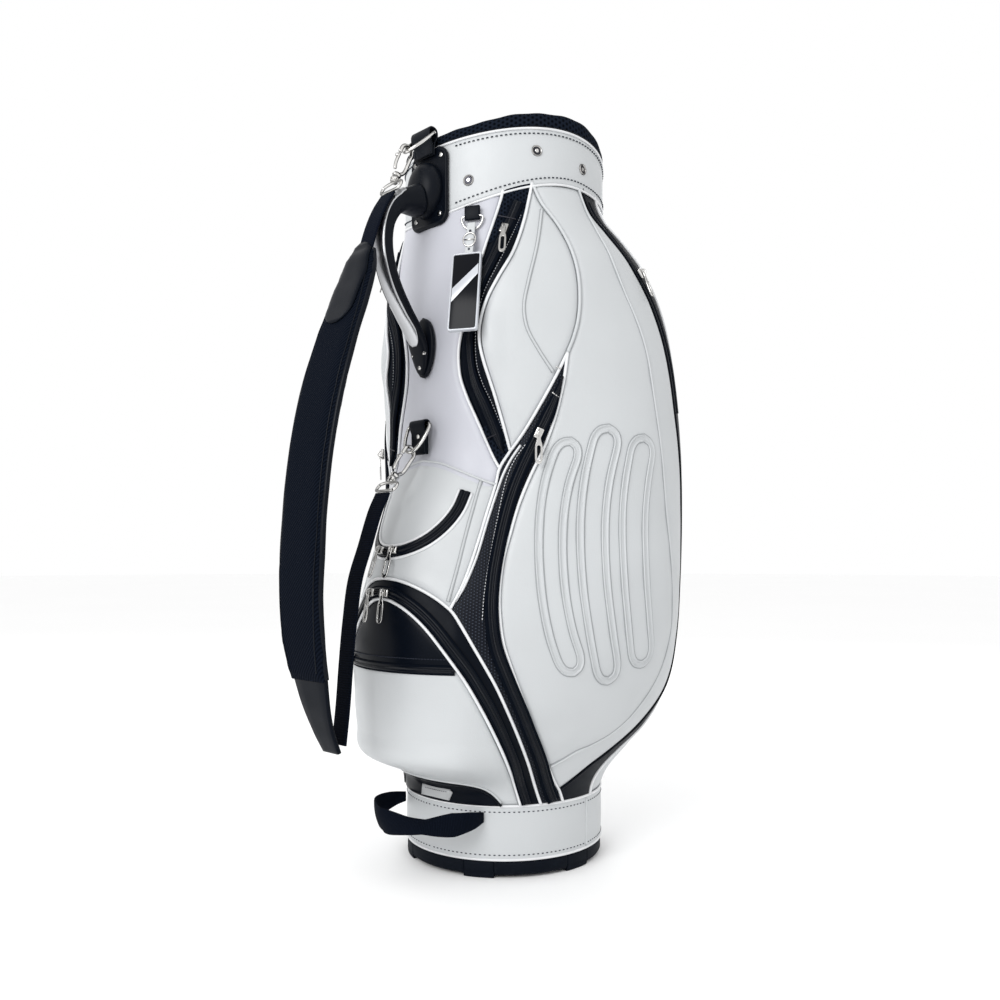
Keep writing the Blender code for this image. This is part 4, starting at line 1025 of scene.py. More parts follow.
def make_zips():
    make_zip("ball_zip", seam(BALL_ZIP), 0.0125, 0.0014, "zip_ball_pocket")
    make_zip("front_zip", seam(FRONT_ZIP), 0.0125, 0.0016, "zip_front_pocket", ridge=0.0044)
    smile = seam(FRONT_ZIP)
    for word, side in (("upper", 1), ("lower", -1)):
        strip(f"front_zip_welt_{word}", smile, round_profile(0.0016, 0.0020) + (0.0076 * side, 0),
              WHITE_VINYL)
    make_zip("valuables_zip", seam(VALUABLES_ZIP), 0.011, 0.0, None, ridge=0.0026)
    for word, side in SIDES:
        garment = on_side(seam(GARMENT_ZIP), side)
        make_zip(f"garment_zip_{word}", garment, 0.0150, 0.0022, f"zip_garment_{word}", start=0.045)
        upper = on_side(seam(UPPER_ZIP), side)
        make_zip(f"upper_zip_{word}", upper, 0.0140, 0.0022, f"zip_upper_{word}", end=0.020)
        stitching = strip_rings(upper, [(0.0088 * side, 0.0)], skin_radius)[:, 0]
        beside = np.column_stack((np.degrees(np.arctan2(stitching[:, 0], -stitching[:, 1])),
                                  stitching[:, 2]))
        stitches(f"upper_band_stitches_{word}", beside[4:-6], GREY_THREAD, 0.0004, 0.0034, length=0.0018)
        make_zip(f"rear_zip_{word}", on_side(seam(REAR_ZIP), side), 0.012, 0.0, None, ridge=0.0026)
        for index, (start, end) in enumerate((((41.2, 0.746), (49.8, 0.740)),
                                              ((36.4, 0.497), (41.4, 0.501)))):
            bar = on_side(seam((start, end), count=10), side)
            strip(f"upper_bar_{index}_{word}", bar, round_profile(0.0007, 0.0046, 8), DARK_METAL)


SLIDER_SIZE = (0.0085, 0.012, 0.0045)
SLIDER_LIFT = 0.0052
PULL_WIDTH = 0.0085
PULL_STANDOFF = 0.0014


def pull_outline():
    half = PULL_WIDTH / 2
    right = [(0.0016, 0.0009), (0.0024, -0.0010), (0.0026, -0.0030), (0.0022, -0.0055), (0.0024, -0.0080)]
    right += [(half - 0.0006, -0.0120), (half, -0.0160), (half, -0.0280), (half - 0.0006, -0.0312),
              (0.0022, -0.0334), (0.0, -0.0340)]
    return right + [(-x, y) for x, y in reversed(right[:-1])]


def slot_outline(low, high, half):
    turn = np.radians(np.linspace(0, 180, 7))
    top = [(half * math.cos(t), high - half + half * math.sin(t)) for t in turn]
    bottom = [(-half * math.cos(t), low + half - half * math.sin(t)) for t in turn]
    return top + bottom


def make_slider(word, angle, height, along, lift):
    """A slider, its bridge and its pull. along is the track's (angle, height) direction."""
    here, normal = on_surface(skin_radius, [angle], [height])
    there = on_surface(skin_radius, [angle + along[0]], [height + along[1]])[0]
    track, normal = Vector(there[0] - here[0]).normalized(), Vector(normal[0])
    here = Vector(here[0]) + normal * lift
    width, length, high = SLIDER_SIZE
    body = f"slider_{word}"
    plating = SMOKY if word.startswith("upper") else NICKEL
    place = frame_matrix(here + normal * high / 2, track.cross(normal), normal)
    piece = block(f"slider_body_{word}", (width, length, high * 0.92), place, plating, body, 0.0013, 4)
    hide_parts(body)
    top = here + normal * (high + PULL_STANDOFF)
    down = Vector((0, 0, -1))
    down = (down - normal * down.dot(normal)).normalized()
    side = down.cross(normal)
    arch = [here + normal * (high - 0.0008) - down * 0.0042, top - down * 0.0034 + normal * 0.0002]
    arch += [top - down * 0.0018 + normal * 0.0019, top + normal * 0.0023,
             top + down * 0.0018 + normal * 0.0019]
    arch += [top + down * 0.0034 + normal * 0.0002, here + normal * (high - 0.0008) + down * 0.0042]
    tube(f"slider_bridge_{word}", arch, 0.0008, plating, body, step=0.0006, sides=10)
    pull_body = f"pull_{word}"
    pin = [top - side * 0.0026, top + side * 0.0026]
    tube(f"pull_pin_{word}", pin, 0.00075, plating, pull_body, sides=10, smooth=False)
    outlines = [pull_outline(), slot_outline(-0.0300, -0.0135, 0.0019)]
    pull = flat_piece(f"pull_tab_{word}", outlines, 0.0016, frame_matrix(top, -side, normal), plating,
                      pull_body, 0.0005)
    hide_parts(pull_body)


def make_sliders():
    for word, side in SIDES:
        make_slider(f"garment_{word}", side * 58.5, 0.500, (side * 5, 0.032), SLIDER_LIFT)
        make_slider(f"upper_{word}", side * 44.5, 0.727, (side * 5, 0.030), SLIDER_LIFT)
        make_slider(f"rear_{word}", side * 110, 0.700, (side * -7, 0.036), 0.0010)
        make_slider(f"ball_{word}", side * 3.1, 0.3238, (side, -0.0002), SLIDER_LIFT)
        make_slider(f"front_{word}", side * 3.1, 0.3697, (side, 0.0), SLIDER_LIFT)
    make_slider("valuables", -22, 0.247, (1, 0.0), 0.0010)


# ---- base, collar, rim and mouth ----
TURN = np.linspace(0, 360, 181)[:-1]
FOOT_SWEEP = 17
FOOT_ANGLES = (30, 90, 150, 210, 270, 330)


def level(radius, height):
    """One ring of a lathe's section, with a number or an array for each of its two values."""
    return tuple(np.broadcast_to(value, TURN.shape) for value in (radius, height))


def lathe(name, profiles, material, angles=TURN):
    """A closed ring whose (radius, height) section may change with the angle."""
    rings = np.stack([around(angles, r, z) for r, z in profiles], axis=1)
    mesh = outward(grid_mesh(name, rings, around_columns=True, around_rows=True))
    return new_piece(name, mesh, material)


def make_base():
    angles = np.arange(0, 360, 0.5)
    from_side = [np.abs((angles + side * FOOT_SWEEP / 2) % 60 - 30) for side in (1, -1)]
    cut = np.where(np.minimum(*from_side) < 0.26, 0.0012, 0.0)
    ones = np.ones(len(angles))
    section = [
        (0.030 * ones, 0.003 * ones), ((BASE_RADIUS - 0.0035) * ones, 0.003 * ones),
        (BASE_RADIUS - 0.0012 - cut, 0.0036 * ones),
        (BASE_RADIUS - cut, 0.0058 * ones), (BASE_RADIUS - cut, 0.0165 * ones),
        (BASE_RADIUS - 0.0004 - cut, 0.0186 * ones),
        ((BASE_RADIUS - 0.0014) * ones, BASE_CUP_TOP * ones),
        ((BASE_RADIUS - 0.006) * ones, BASE_CUP_TOP * ones),
        ((BASE_RADIUS - 0.006) * ones, 0.008 * ones), (0.030 * ones, 0.008 * ones),
    ]
    cup = lathe("rubber_base", section, RUBBER, angles)
    cup.data.set_sharp_from_angle(angle=math.radians(50))
    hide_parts("base_cup")
    hub = [(0.031, 0.0), (0.0336, 0.0012), (0.034, 0.0030), (0.034, 0.0070)]
    turned("base_hub", hub, Matrix.Identity(4), RUBBER, slot="base_rubber", steps=48)
    for middle in FOOT_ANGLES:
        spots = np.linspace(middle - FOOT_SWEEP / 2, middle + FOOT_SWEEP / 2, 12)
        outline = ((0.0965, 0.0040), (0.0965, 0.0006), (0.0975, 0.0), (BASE_RADIUS - 0.0014, 0.0),
                   (BASE_RADIUS - 0.0002, 0.0010),
                   (BASE_RADIUS + 0.0002, 0.0064), (BASE_RADIUS - 0.0030, 0.0068))
        rings = np.stack([around(spots, np.full(12, r), np.full(12, z)) for r, z in outline], axis=1)
        foot = outward(grid_mesh(f"base_foot_{middle}", rings, around_columns=True, caps=True))
        new_piece(f"base_foot_{middle}", foot, RUBBER).data.set_sharp_from_angle(angle=math.radians(40))
    for index in range(8):
        rib = Matrix.Rotation(math.radians(45 * index + 22.5), 4,
                              "Z") @ Matrix.Translation((0.066, 0, 0.0026))
        block(f"base_rib_{index}", (0.062, 0.004, 0.0016), rib, RUBBER, edge=0.0004)


def ring_line(height):
    """A closed (angle, height) line round the bag; height is a number or a function of the angle."""
    angles = np.linspace(0, 360, 361)[:-1]
    heights = height(angles) if callable(height) else np.full(len(angles), height)
    return np.column_stack((angles, heights))


def make_base_band():
    radius = cylinder(BASE_RADIUS)
    rows = np.linspace(BASE_CUP_TOP + 0.0006, BASE_BAND_TOP - 0.0002, 21)
    rise = 0.0005 + 0.0006 * np.sin(np.linspace(0, math.pi, 21))
    section = [level(BASE_RADIUS + r, z) for r, z in zip(rise, rows)]
    section += [level(BASE_RADIUS - 0.0024, z) for z in (rows[-1], rows[0])]
    band = lathe("base_band_leather", section, WHITE_LEATHER)
    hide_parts("base_band")
    for word, height in (("low", BASE_CUP_TOP + 0.0018), ("top", BASE_BAND_TOP - 0.0008)):
        bead = round_profile(0.0016, 0.0004)
        strip(f"base_band_bead_{word}", ring_line(height), bead, WHITE_VINYL, surface=radius, closed=True)
    for word, height in (("low", BASE_CUP_TOP + 0.0072), ("top", BASE_BAND_TOP - 0.0075)):
        line = ring_line(height)
        stitches(f"base_band_stitches_{word}", line, DARK_THREAD, 0.0006, 0.0056, radius=0.00060,
                 surface=radius)
    joint = seam(((97, BASE_CUP_TOP + 0.004), (97, 0.050), (97, BASE_BAND_TOP - 0.003)))
    strip("base_band_joint", joint, RIDGE + (0, 0.0010), WHITE_LEATHER, surface=radius)
    tab = [(-0.024, -0.0065), (0.020, -0.0065), (0.024, 0.003), (0.020, 0.0065), (-0.024, 0.0065)]
    plaque("base_grey_tab", (4, 0.0915), tab, ((1.0, 0.0008), (0.97, 0.0016), (0.5, 0.0018)), GREY_LEATHER,
           skin_radius, lift=0.0014)
    line = seam(((-5, 0.0945), (4, 0.0945), (13, 0.0945)))
    stitches("base_grey_tab_stitches", line, DARK_THREAD, 0.0032, 0.0030, length=0.0018, radius=0.00035)


COLLAR_SNAPS = ((25, 0.793), (61.5, 0.826), (92, 0.820))


def make_collar():
    radius = cylinder(COLLAR_RADIUS)
    low, top = collar_low(TURN), collar_top(TURN)
    section = []
    for share in np.linspace(0, 1, 17):
        full = 0.0010 * math.sin(math.pi * share) ** 0.6
        section.append(level(COLLAR_RADIUS - 0.0004 + full, low + (top - low) * share))
    section += [level(TUBE_RADIUS + 0.0004, top), level(TUBE_RADIUS + 0.0004, low + 0.012)]
    collar = lathe("collar_leather", section, WHITE_LEATHER)
    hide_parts("collar_band")
    for word, edge, offset in (("low", collar_low, 0.0008), ("top", collar_top, -0.0006)):
        line = ring_line(edge) + (0, offset)
        strip(f"collar_bead_{word}", line, round_profile(0.0014, 0.0002), WHITE_VINYL, surface=radius,
              closed=True)
    for word, edge, offset in (("low", collar_low, 0.0085), ("top", collar_top, -0.0065)):
        line = ring_line(edge) + (0, offset)
        line = line[(line[:, 0] > 15) & (line[:, 0] < 345)]
        stitches(f"collar_stitches_{word}", line, DARK_THREAD, 0.0008, 0.0054, radius=0.00065,
                 surface=radius)
    for first, side in ((0, 1), (3, -1)):
        for index, (angle, height) in enumerate(COLLAR_SNAPS, first):
            make_snap(f"collar_snap_{index}", side * angle, height, radius)
    back = seam(((180, 0.797), (180, 0.820), (180, 0.837)))
    strip("collar_back_joint", back, RIDGE + (0, 0.0008), WHITE_LEATHER, surface=radius)


def make_snap(name, angle, height, surface):
    """A press stud: a dished ring with a dark eye."""
    here, normal = on_surface(surface, [angle], [height], 0.0006)
    place = frame_matrix(here[0], (0, 0, 1), normal[0])
    ring = [(0.0062, -0.0010), (0.0064, 0.0004), (0.0059, 0.0012), (0.0052, 0.0014), (0.0046, 0.0010),
            (0.0043, 0.0003), (0.0012, 0.0002)]
    turned(name, ring, place, SMOKY, slot="nickel")
    turned(name + "_dish", [(0.0044, -0.0002), (0.0044, 0.0004), (0.0004, 0.0003)], place, DARK_METAL,
           slot="nickel")
    eye = [(0.0022, 0.0001), (0.0022, 0.0009), (0.0018, 0.0012), (0.0009, 0.0012), (0.0006, 0.0008),
           (0.0002, 0.0008)]
    turned(name + "_eye", eye, place, NICKEL, slot="nickel")


RIM_BODY = 0.42  # shares of the rim's height at its widest level and at its top
RIM_CROWN = 1.11


def make_rim():
    """The padded roll round the mouth, slightly uneven as a stuffed tube is."""
    low, top = collar_top(TURN) + 0.0004, rim_top(TURN)
    middle, half = (COLLAR_RADIUS + RIM_INNER) / 2, (COLLAR_RADIUS - RIM_INNER) / 2
    uneven = 0.0004 * np.sin(np.radians(TURN) * 9) + 0.0003 * np.sin(np.radians(TURN) * 23 + 1)
    section = []
    for turn in np.radians(np.linspace(-12, 192, 19)):
        c, s = math.cos(turn), math.sin(turn)
        wide = math.copysign(abs(c) ** 0.75, c) * half
        tall = math.copysign(abs(s) ** 0.75, s)
        crown = (top - low) * (RIM_BODY + (RIM_CROWN - RIM_BODY) * tall)
        section.append((middle + wide + uneven * abs(c), low + crown + uneven * max(s, 0)))
    section.append(level(RIM_INNER + 0.0010, low))
    section.insert(0, level(COLLAR_RADIUS - 0.0010, low))
    rim = lathe("rim_padding", section, RIM_MESH)
    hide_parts("top_rim")
    line = ring_line(collar_top) + (0, 0.0014)
    strip("rim_binding", line, round_profile(0.0014, 0.0), BLACK_VINYL,
          surface=cylinder(COLLAR_RADIUS - 0.0006), closed=True)
    inner = ring_line(collar_top) + (0, 0.0016)
    strip("rim_inner_binding", inner, round_profile(0.0013, 0.0), BLACK_VINYL,
          surface=cylinder(RIM_INNER + 0.0002), closed=True)


DIVIDER_ROW = 0.036
DIVIDER_PAD = 0.009
DIVIDER_TOP = 0.832
DIVIDER_SPLIT = 0.792


def divider_bars(thickness, low, high, gap, build):
    reach = LINING_RADIUS - gap
    across = math.sqrt(reach**2 - (DIVIDER_ROW + thickness / 2) ** 2)
    height, middle = high - low, (high + low) / 2
    for word, side in (("front", -1), ("back", 1)):
        build(f"cross_{word}", (2 * across, thickness, height), (0, side * DIVIDER_ROW, middle))
        inner = DIVIDER_ROW + thickness / 2 - 0.0005
        length = reach - 0.0006 - inner
        build(f"stub_{word}", (thickness, length, height), (0, side * (inner + length / 2), middle))
    build("spine", (thickness, 2 * DIVIDER_ROW - thickness + 0.001, height), (0, 0, middle))


def make_mouth():
    steps = np.linspace(0.0088, 0.846, 24)
    top = collar_top(TURN) - 0.0008
    section = [level(LINING_RADIUS - 0.0008, z) for z in (*steps[:-1], top)]
    section += [level(TUBE_RADIUS - 0.0002, z) for z in (top, BASE_CUP_TOP + 0.001)]
    section.append(level(LINING_RADIUS - 0.0004, steps[0]))
    lining = lathe("tube_lining", section, LINING)
    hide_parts("inner_tube")

    def pad(word, size, place):
        made = block(f"divider_pad_{word}", size, Matrix.Translation(place), FLEECE, edge=0.0040, segments=5)

    def wall(word, size, place):
        made = block(f"divider_wall_{word}", size, Matrix.Translation(place), LINING, edge=0.0004,
                     segments=1)
        if word == "spine":
            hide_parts("divider")

    divider_bars(DIVIDER_PAD, DIVIDER_SPLIT, DIVIDER_TOP, 0.0016, pad)
    divider_bars(0.0022, 0.0300, DIVIDER_SPLIT + 0.004, 0.0022, wall)


# ---- handle ----
HANDLE_PATH = (
    (-0.1450, 0.7750), (-0.1520, 0.7730), (-0.1665, 0.7680), (-0.1810, 0.7560), (-0.1905, 0.7370),
    (-0.1935, 0.7130), (-0.1890, 0.6880),
    (-0.1790, 0.6650), (-0.1640, 0.6430), (-0.1500, 0.6240), (-0.1432, 0.6100), (-0.1398, 0.5960),
    (-0.1384, 0.5840),
    (-0.1376, 0.5745),
)


def in_plane(path):
    return np.array([(0.0, y, z) for y, z in path])


def screw(name, place, radius, slotted=True):
    head = [(radius, -0.0006), (radius, 0.0002), (radius * 0.86, 0.0009), (radius * 0.45, 0.0012),
            (radius * 0.1, 0.0013)]
    turned(name, head, place, NICKEL, steps=20, slot="nickel")
    if slotted:
        bar = place @ Matrix.Translation((0, 0, 0.0012))
        block(name + "_slot", (radius * 1.1, radius * 0.24, 0.0004), bar, DARK_METAL, edge=0.00008,
              segments=1)


def on_spine(radius, arc, height):
    """A place on a cylinder in front, X sideways and Z outwards."""
    angle = math.degrees(arc / radius)
    here, normal = on_surface(cylinder(radius), [angle], [height])
    return frame_matrix(here[0], (1, 0, 0), normal[0])


def make_handle():
    surface = cylinder(COLLAR_RADIUS + 0.0030)
    outline = rounded_box(0.061, 0.090, 0.013)
    edge = ((1.0, 0.0022), (0.985, 0.0033), (0.96, 0.0040), (0.925, 0.0041), (0.905, 0.0032), (0.88, 0.0029),
            (0.5, 0.0030))
    bracket = plaque("bracket_plate", (0, 0.7925), outline, edge, SOFT_PLASTIC, surface)
    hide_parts("handle_bracket")
    dome = []
    for turn in np.radians(np.linspace(0, 84, 12)):
        dome.append((math.cos(turn) ** 0.8, 0.0195 * math.sin(turn) ** 0.9))
    oval_edge = [(0.0245 * math.cos(t), 0.0320 * math.sin(t)) for t in np.linspace(0, 2 * math.pi, 40,
                                                                                   endpoint=False)]
    plaque("bracket_dome", (0, 0.7900), oval_edge, dome, SOFT_PLASTIC, surface,
           lift=0.0024)
    for word, side in SIDES:
        for row, arc, height in (("top", 0.0225, 0.8265), ("low", 0.0205, 0.7595)):
            place = on_spine(COLLAR_RADIUS + 0.0060, side * arc, height)
            screw(f"bracket_rivet_{row}_{word}", place, 0.0030, slotted=False)
        here = frame_matrix((side * 0.0165, -0.1412, 0.7885), (0, 0.3, 1), (side * 0.78, -0.62, 0.1))
        block(f"bracket_slot_{word}", (0.0090, 0.0050, 0.0016), here, DARK_METAL, edge=0.0007)
    line = smooth_line(in_plane(HANDLE_PATH), 0.002)
    t = np.linspace(0, 1, len(line))
    width = np.interp(t, (0, 0.055, 0.13, 0.26), (0.034, 0.031, 0.0265, 0.0235))
    depth = np.interp(t, (0, 0.055, 0.13, 0.26), (0.036, 0.029, 0.0215, 0.0170))
    levels = (0.5745, 0.5790, 0.5860, 0.5960, 0.6080, 0.6220, 0.6420, 0.6650)
    low_width = np.interp(line[:, 2], levels, (0.0050, 0.0130, 0.0200, 0.0262, 0.0285, 0.0262, 0.0234,
                                               0.0235))
    low_depth = np.interp(line[:, 2], levels, (0.0020, 0.0038, 0.0052, 0.0072, 0.0100, 0.0130, 0.0152,
                                               0.0170))
    width = np.where(line[:, 2] < 0.665, low_width, width)
    depth = np.where(line[:, 2] < 0.665, low_depth, depth)
    sections = [oval(w, d, 28, 0.72) for w, d in zip(width, depth)]
    grip = ribbon("handle_grip_body", line, X_AXIS, sections, SOFT_PLASTIC, "bag")
    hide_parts("handle_grip")
    foot = [(0.0, 0.036), (0.0085, 0.031), (0.0145, 0.020), (0.0168, 0.004), (0.0150, -0.012),
            (0.0095, -0.026), (0.0045, -0.0325), (0.0, -0.034)]
    foot = smooth_line(foot, count=16)
    foot = np.concatenate((foot, foot[::-1][1:-1] * (-1, 1)))
    rise = ((1.0, 0.0030), (0.95, 0.0042), (0.88, 0.0046), (0.5, 0.0050))
    plaque("handle_foot", (0, 0.606), foot, rise, SOFT_PLASTIC, cylinder(0.1322))
    for index, (arc, height, radius) in enumerate(((0.0, 0.5830, 0.1404), (0.0102, 0.5985, 0.1428),
                                                   (-0.0102, 0.5985, 0.1428))):
        screw(f"handle_screw_{index}", on_spine(radius, arc, height), 0.0026)
    make_inlay(line, width, depth)


def make_inlay(line, width, depth):
    """The satin shell over the handle's outer half: ribbed at its top, with two dark lines along it."""
    t = np.linspace(0, 1, len(line))
    keep = (t > 0.080) & ((line[:, 2] > 0.6065) | (t < 0.5))
    t, line, width, depth = t[keep], line[keep], width[keep], depth[keep]
    face = np.cross(directions(line), (1.0, 0, 0))
    outward_sign = np.sign(face[len(face) // 2] @ np.array((0, -1.0, 0)))
    share = (t - t[0]) / (t[-1] - t[0])
    reach = np.interp(share, (0, 0.05, 0.15, 0.6, 0.85), (50, 57, 55, 54, 52)) * np.clip((1 - share) / 0.11,
                                                                                         0.02, 1) ** 0.5
    ribs = 0.0007 * np.clip(np.sin(share * 230), 0, 1) * ((share > 0.02) & (share < 0.13))
    sections, dark = [], []
    for w, d, angle, rib in zip(width, depth, reach, ribs):
        spots = np.radians(np.linspace(90 - angle, 90 + angle, 17))
        shape = np.column_stack((np.sign(np.cos(spots)) * np.abs(np.cos(spots)) ** 0.72,
                                 np.sin(spots) ** 0.72))
        over = shape * (w / 2 + 0.0007 + rib * 0.4, d / 2 + 0.0009 + rib)
        under = (shape * (w / 2 - 0.0012, d / 2 - 0.0012))[::-1]
        sections.append(np.vstack((over, under)) * (1, outward_sign))
        dark.append((over[3] * (1, outward_sign), over[13] * (1, outward_sign)))
    inlay = ribbon("handle_satin_inlay", line, X_AXIS, np.array(sections), SATIN, "bag")
    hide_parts("handle_inlay")
    stretch = slice(8, int(len(line) * 0.72))
    for index, word in enumerate(("right", "left")):
        spots = np.array([pair[index] for pair in dark])
        dark_strip = (line + (np.array((1.0, 0, 0)) * spots[:, :1] + face * spots[:, 1:]) * 0.985)[stretch]
        tube(f"handle_dark_line_{word}", dark_strip, 0.0006, DARK_METAL, step=0.004, sides=8)


# ---- tabs, rings, hooks and the strap ----
UPPER_ROLL = Vector((0, -0.1330, 0.8520))
LOWER_ROLL = Vector((0, -0.1400, 0.5170))
UPPER_HANG = Vector((0, -0.72, -0.69)).normalized()
LOWER_HANG = Vector((0, -0.42, -0.91)).normalized()
UPPER_HOOK = Vector((0, -0.43, -0.90)).normalized()
LOWER_HOOK = Vector((0, -0.62, -0.78)).normalized()
RING_DEPTH = 0.036
HOOK_PLAY = 0.0015
WIRE = 0.0021


def flat_section(width, thickness, count=5):
    """A strap's section: a thin rectangle with round edges."""
    half, deep = width / 2, thickness / 2
    right = [(half - deep + deep * math.cos(t), deep * math.sin(t))
             for t in np.radians(np.linspace(-90, 90, 7))]
    left = [(-x, -y) for x, y in right]
    top = [(x, deep) for x in np.linspace(half - deep, -half + deep, count)[1:-1]]
    low = [(-x, -deep) for x, _ in top]
    return np.array(right + top + left + low)


def make_tab(word, roll, width, length, material, bulk=1.0, rivet=True):
    """A leather strip folded round a ring's bar, its two ends sewn together below."""
    loop = [(0.0012, -length), (0.0012, -0.0105), (0.0022, -0.0070), (0.0041, -0.0035), (0.0047, 0.0005),
            (0.0033, 0.0038)]
    loop += [(0.0, 0.0048)] + [(-y, z) for y, z in reversed(loop)]
    path = smooth_line([(roll.x, roll.y + y * bulk, roll.z + max(z * bulk, -length)) for y, z in loop],
                       0.0010)
    tab = ribbon(f"tab_leather_{word}", path, X_AXIS, flat_section(width, 0.0021), material, "bag")
    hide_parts(f"tab_{word}")
    if rivet:
        outside = roll + Vector((0, -0.0012 * bulk - 0.0011, -0.0135))
        screw(f"tab_rivet_{word}", frame_matrix(outside, X_AXIS, Vector((0, -1, 0))), 0.0028, slotted=False)
    for side_word, side in SIDES:
        low = [roll + Vector((side * (width / 2 - 0.0022), -0.0012 * bulk - 0.0012, z))
               for z in (-length + 0.002, -0.0105 * bulk)]
        tube(f"tab_thread_{word}_{side_word}", low, 0.00025, DARK_THREAD, smooth=False, sides=6)


def d_ring(centre, hang, half_width, depth):
    points = [Vector((x, 0, 0)) for x in np.linspace(-half_width + 0.002, half_width - 0.002, 5)]
    for turn in np.linspace(0, math.pi, 15):
        rise = 0.004 + (depth - 0.004) * math.sin(turn)
        points.append(Vector((half_width * math.cos(turn), 0, 0)) + hang
                      * (rise if 0 < turn < 3.14 else 0.003))
    return [centre + point for point in points]


def make_ring(word, roll, hang):
    ring = tube(f"d_ring_{word}", d_ring(roll, hang, 0.0185, RING_DEPTH), WIRE, NICKEL, f"ring_{word}",
                closed=True)
    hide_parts(f"ring_{word}")


def make_hook(word, eye, towards):
    """A swivel snap hook: bow, sprung gate with its thumb stud, turned barrel and webbing loop."""
    down = towards.normalized()
    side = X_AXIS.cross(down).normalized()
    half = 0.0075

    def at(d, s, x=0.0):
        return eye + down * d + side * s + X_AXIS * x

    bow = [at(0.034, 0.0), at(0.0305, 0.003), at(0.026, 0.0062), at(0.020, half), at(0.013, half),
           at(0.006, half)]
    bow += [at(-half * math.sin(math.pi * i / 10), half * math.cos(math.pi * i / 10))
            for i in range(11)] + [at(0.006, -half)]
    hook = tube(f"hook_bow_{word}", bow, 0.0023, NICKEL, "strap")
    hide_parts(f"hook_{word}")
    profile = [(0.0030, -0.0075), (0.0045, -0.0062), (0.0052, -0.0040), (0.0040, -0.0022), (0.0048, -0.0008),
               (0.0052, 0.0020)]
    profile += [(0.0038, 0.0036), (0.0046, 0.0050), (0.0036, 0.0064)]
    turned(f"hook_barrel_{word}", profile, frame_matrix(at(0.0385, 0), X_AXIS, down), NICKEL, "strap", 24,
           "nickel")
    loop = [(-0.0152, 0.0015), (-0.0166, 0.0060), (-0.0150, 0.0106), (-0.005, 0.0114), (0.005, 0.0114),
            (0.0150, 0.0106)]
    loop += [(0.0166, 0.0060), (0.0152, 0.0015), (0.006, -0.0012), (-0.006, -0.0012)]
    tube(f"hook_loop_{word}", [at(0.046 + d, 0, x) for x, d in loop], 0.0018, NICKEL, "strap", closed=True)
    gate_line = [at(0.0090, -half), at(0.016, -half - 0.0001), at(0.0225, -half + 0.0004),
                 at(0.0285, -half + 0.0022)]
    gate = tube(f"hook_gate_{word}", gate_line, 0.0019, NICKEL, f"gate_{word}")
    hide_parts(f"gate_{word}")
    stud = [(0.0012, -0.0004), (0.0013, 0.0016), (0.0021, 0.0022), (0.0022, 0.0030), (0.0014, 0.0036)]
    turned(f"hook_stud_{word}", stud, frame_matrix(at(0.0125, -half), X_AXIS, -side), NICKEL, f"gate_{word}",
           16)


LEADER = ((-0.1866, 0.7698), (-0.1980, 0.7520), (-0.2085, 0.7290), (-0.2195, 0.6950))
PAD = (
    (-0.2170, 0.7010), (-0.2260, 0.6740), (-0.2400, 0.6380), (-0.2580, 0.5920), (-0.2760, 0.5350),
    (-0.2890, 0.4720),
    (-0.2970, 0.4050), (-0.3000, 0.3400), (-0.2970, 0.2800), (-0.2890, 0.2350),
)
PAD_WIDTHS = (0.034, 0.058, 0.072, 0.079, 0.080, 0.080, 0.080, 0.079, 0.074, 0.062)
TAIL = ((-0.2898, 0.2420), (-0.2820, 0.2080), (-0.2720, 0.1790), (-0.2620, 0.1580))
TAIL_WIDTHS = (0.060, 0.050, 0.038, 0.030)
STRAP_WEBBING = (
    (-0.1940, 0.4354), (-0.2050, 0.4140), (-0.2180, 0.3780), (-0.2320, 0.3390), (-0.2390, 0.2950),
    (-0.2440, 0.2500),
    (-0.2480, 0.2050), (-0.2530, 0.1640),
)
PAD_THICK = 0.013
SWELL_VOXEL = 0.005
SWELL_FRAMES = 20
SWELL_PRESSURE = 4.0
SWELL_CAP = 0.0025  # the farthest that the stuffing may move a point


def inflate(obj):
    """Swells a closed mesh as stuffing does, by a short cloth simulation, and applies the result."""
    remesh = obj.modifiers.new("remesh", "REMESH")
    remesh.mode = "VOXEL"
    remesh.voxel_size = SWELL_VOXEL
    apply_modifiers(obj)
    before = np.array([v.co for v in obj.data.vertices], float)
    cloth = obj.modifiers.new("stuffing", "CLOTH")
    cloth.settings.use_pressure = True
    cloth.settings.uniform_pressure_force = SWELL_PRESSURE
    cloth.settings.effector_weights.gravity = 0.0
    cloth.point_cache.frame_start, cloth.point_cache.frame_end = 1, SWELL_FRAMES
    for number in range(1, SWELL_FRAMES + 1):
        bpy.context.scene.frame_set(number)
    apply_modifiers(obj)
    after = np.array([v.co for v in obj.data.vertices], float)
    move = after - before
    size = np.linalg.norm(move, axis=1)[:, None]
    move *= np.minimum(1.0, SWELL_CAP / np.maximum(size, 1e-9))
    obj.data.vertices.foreach_set("co", (before + move).astype(np.float32).ravel())
    obj.data.update()
    bpy.context.scene.frame_set(1)


def resting_on(obj, points, out, lift):
    """The points moved along out until they lie on the mesh; a point that meets nothing stays where it is."""
    corners = [tuple(v.co) for v in obj.data.vertices]
    tree = BVHTree.FromPolygons(corners, [tuple(face.vertices) for face in obj.data.polygons])
    placed = []
    for point, direction in zip(points, out):
        hit = tree.ray_cast(Vector(point + direction * 0.03), Vector(-direction), 0.06)[0]
        placed.append(point if hit is None else np.array(hit) + direction * lift)
    return np.array(placed)


def apply_modifiers(obj):
    evaluated = obj.evaluated_get(bpy.context.evaluated_depsgraph_get())
    mesh = bpy.data.meshes.new_from_object(evaluated)
    obj.modifiers.clear()
    obj.data = mesh
    mesh.shade_smooth()


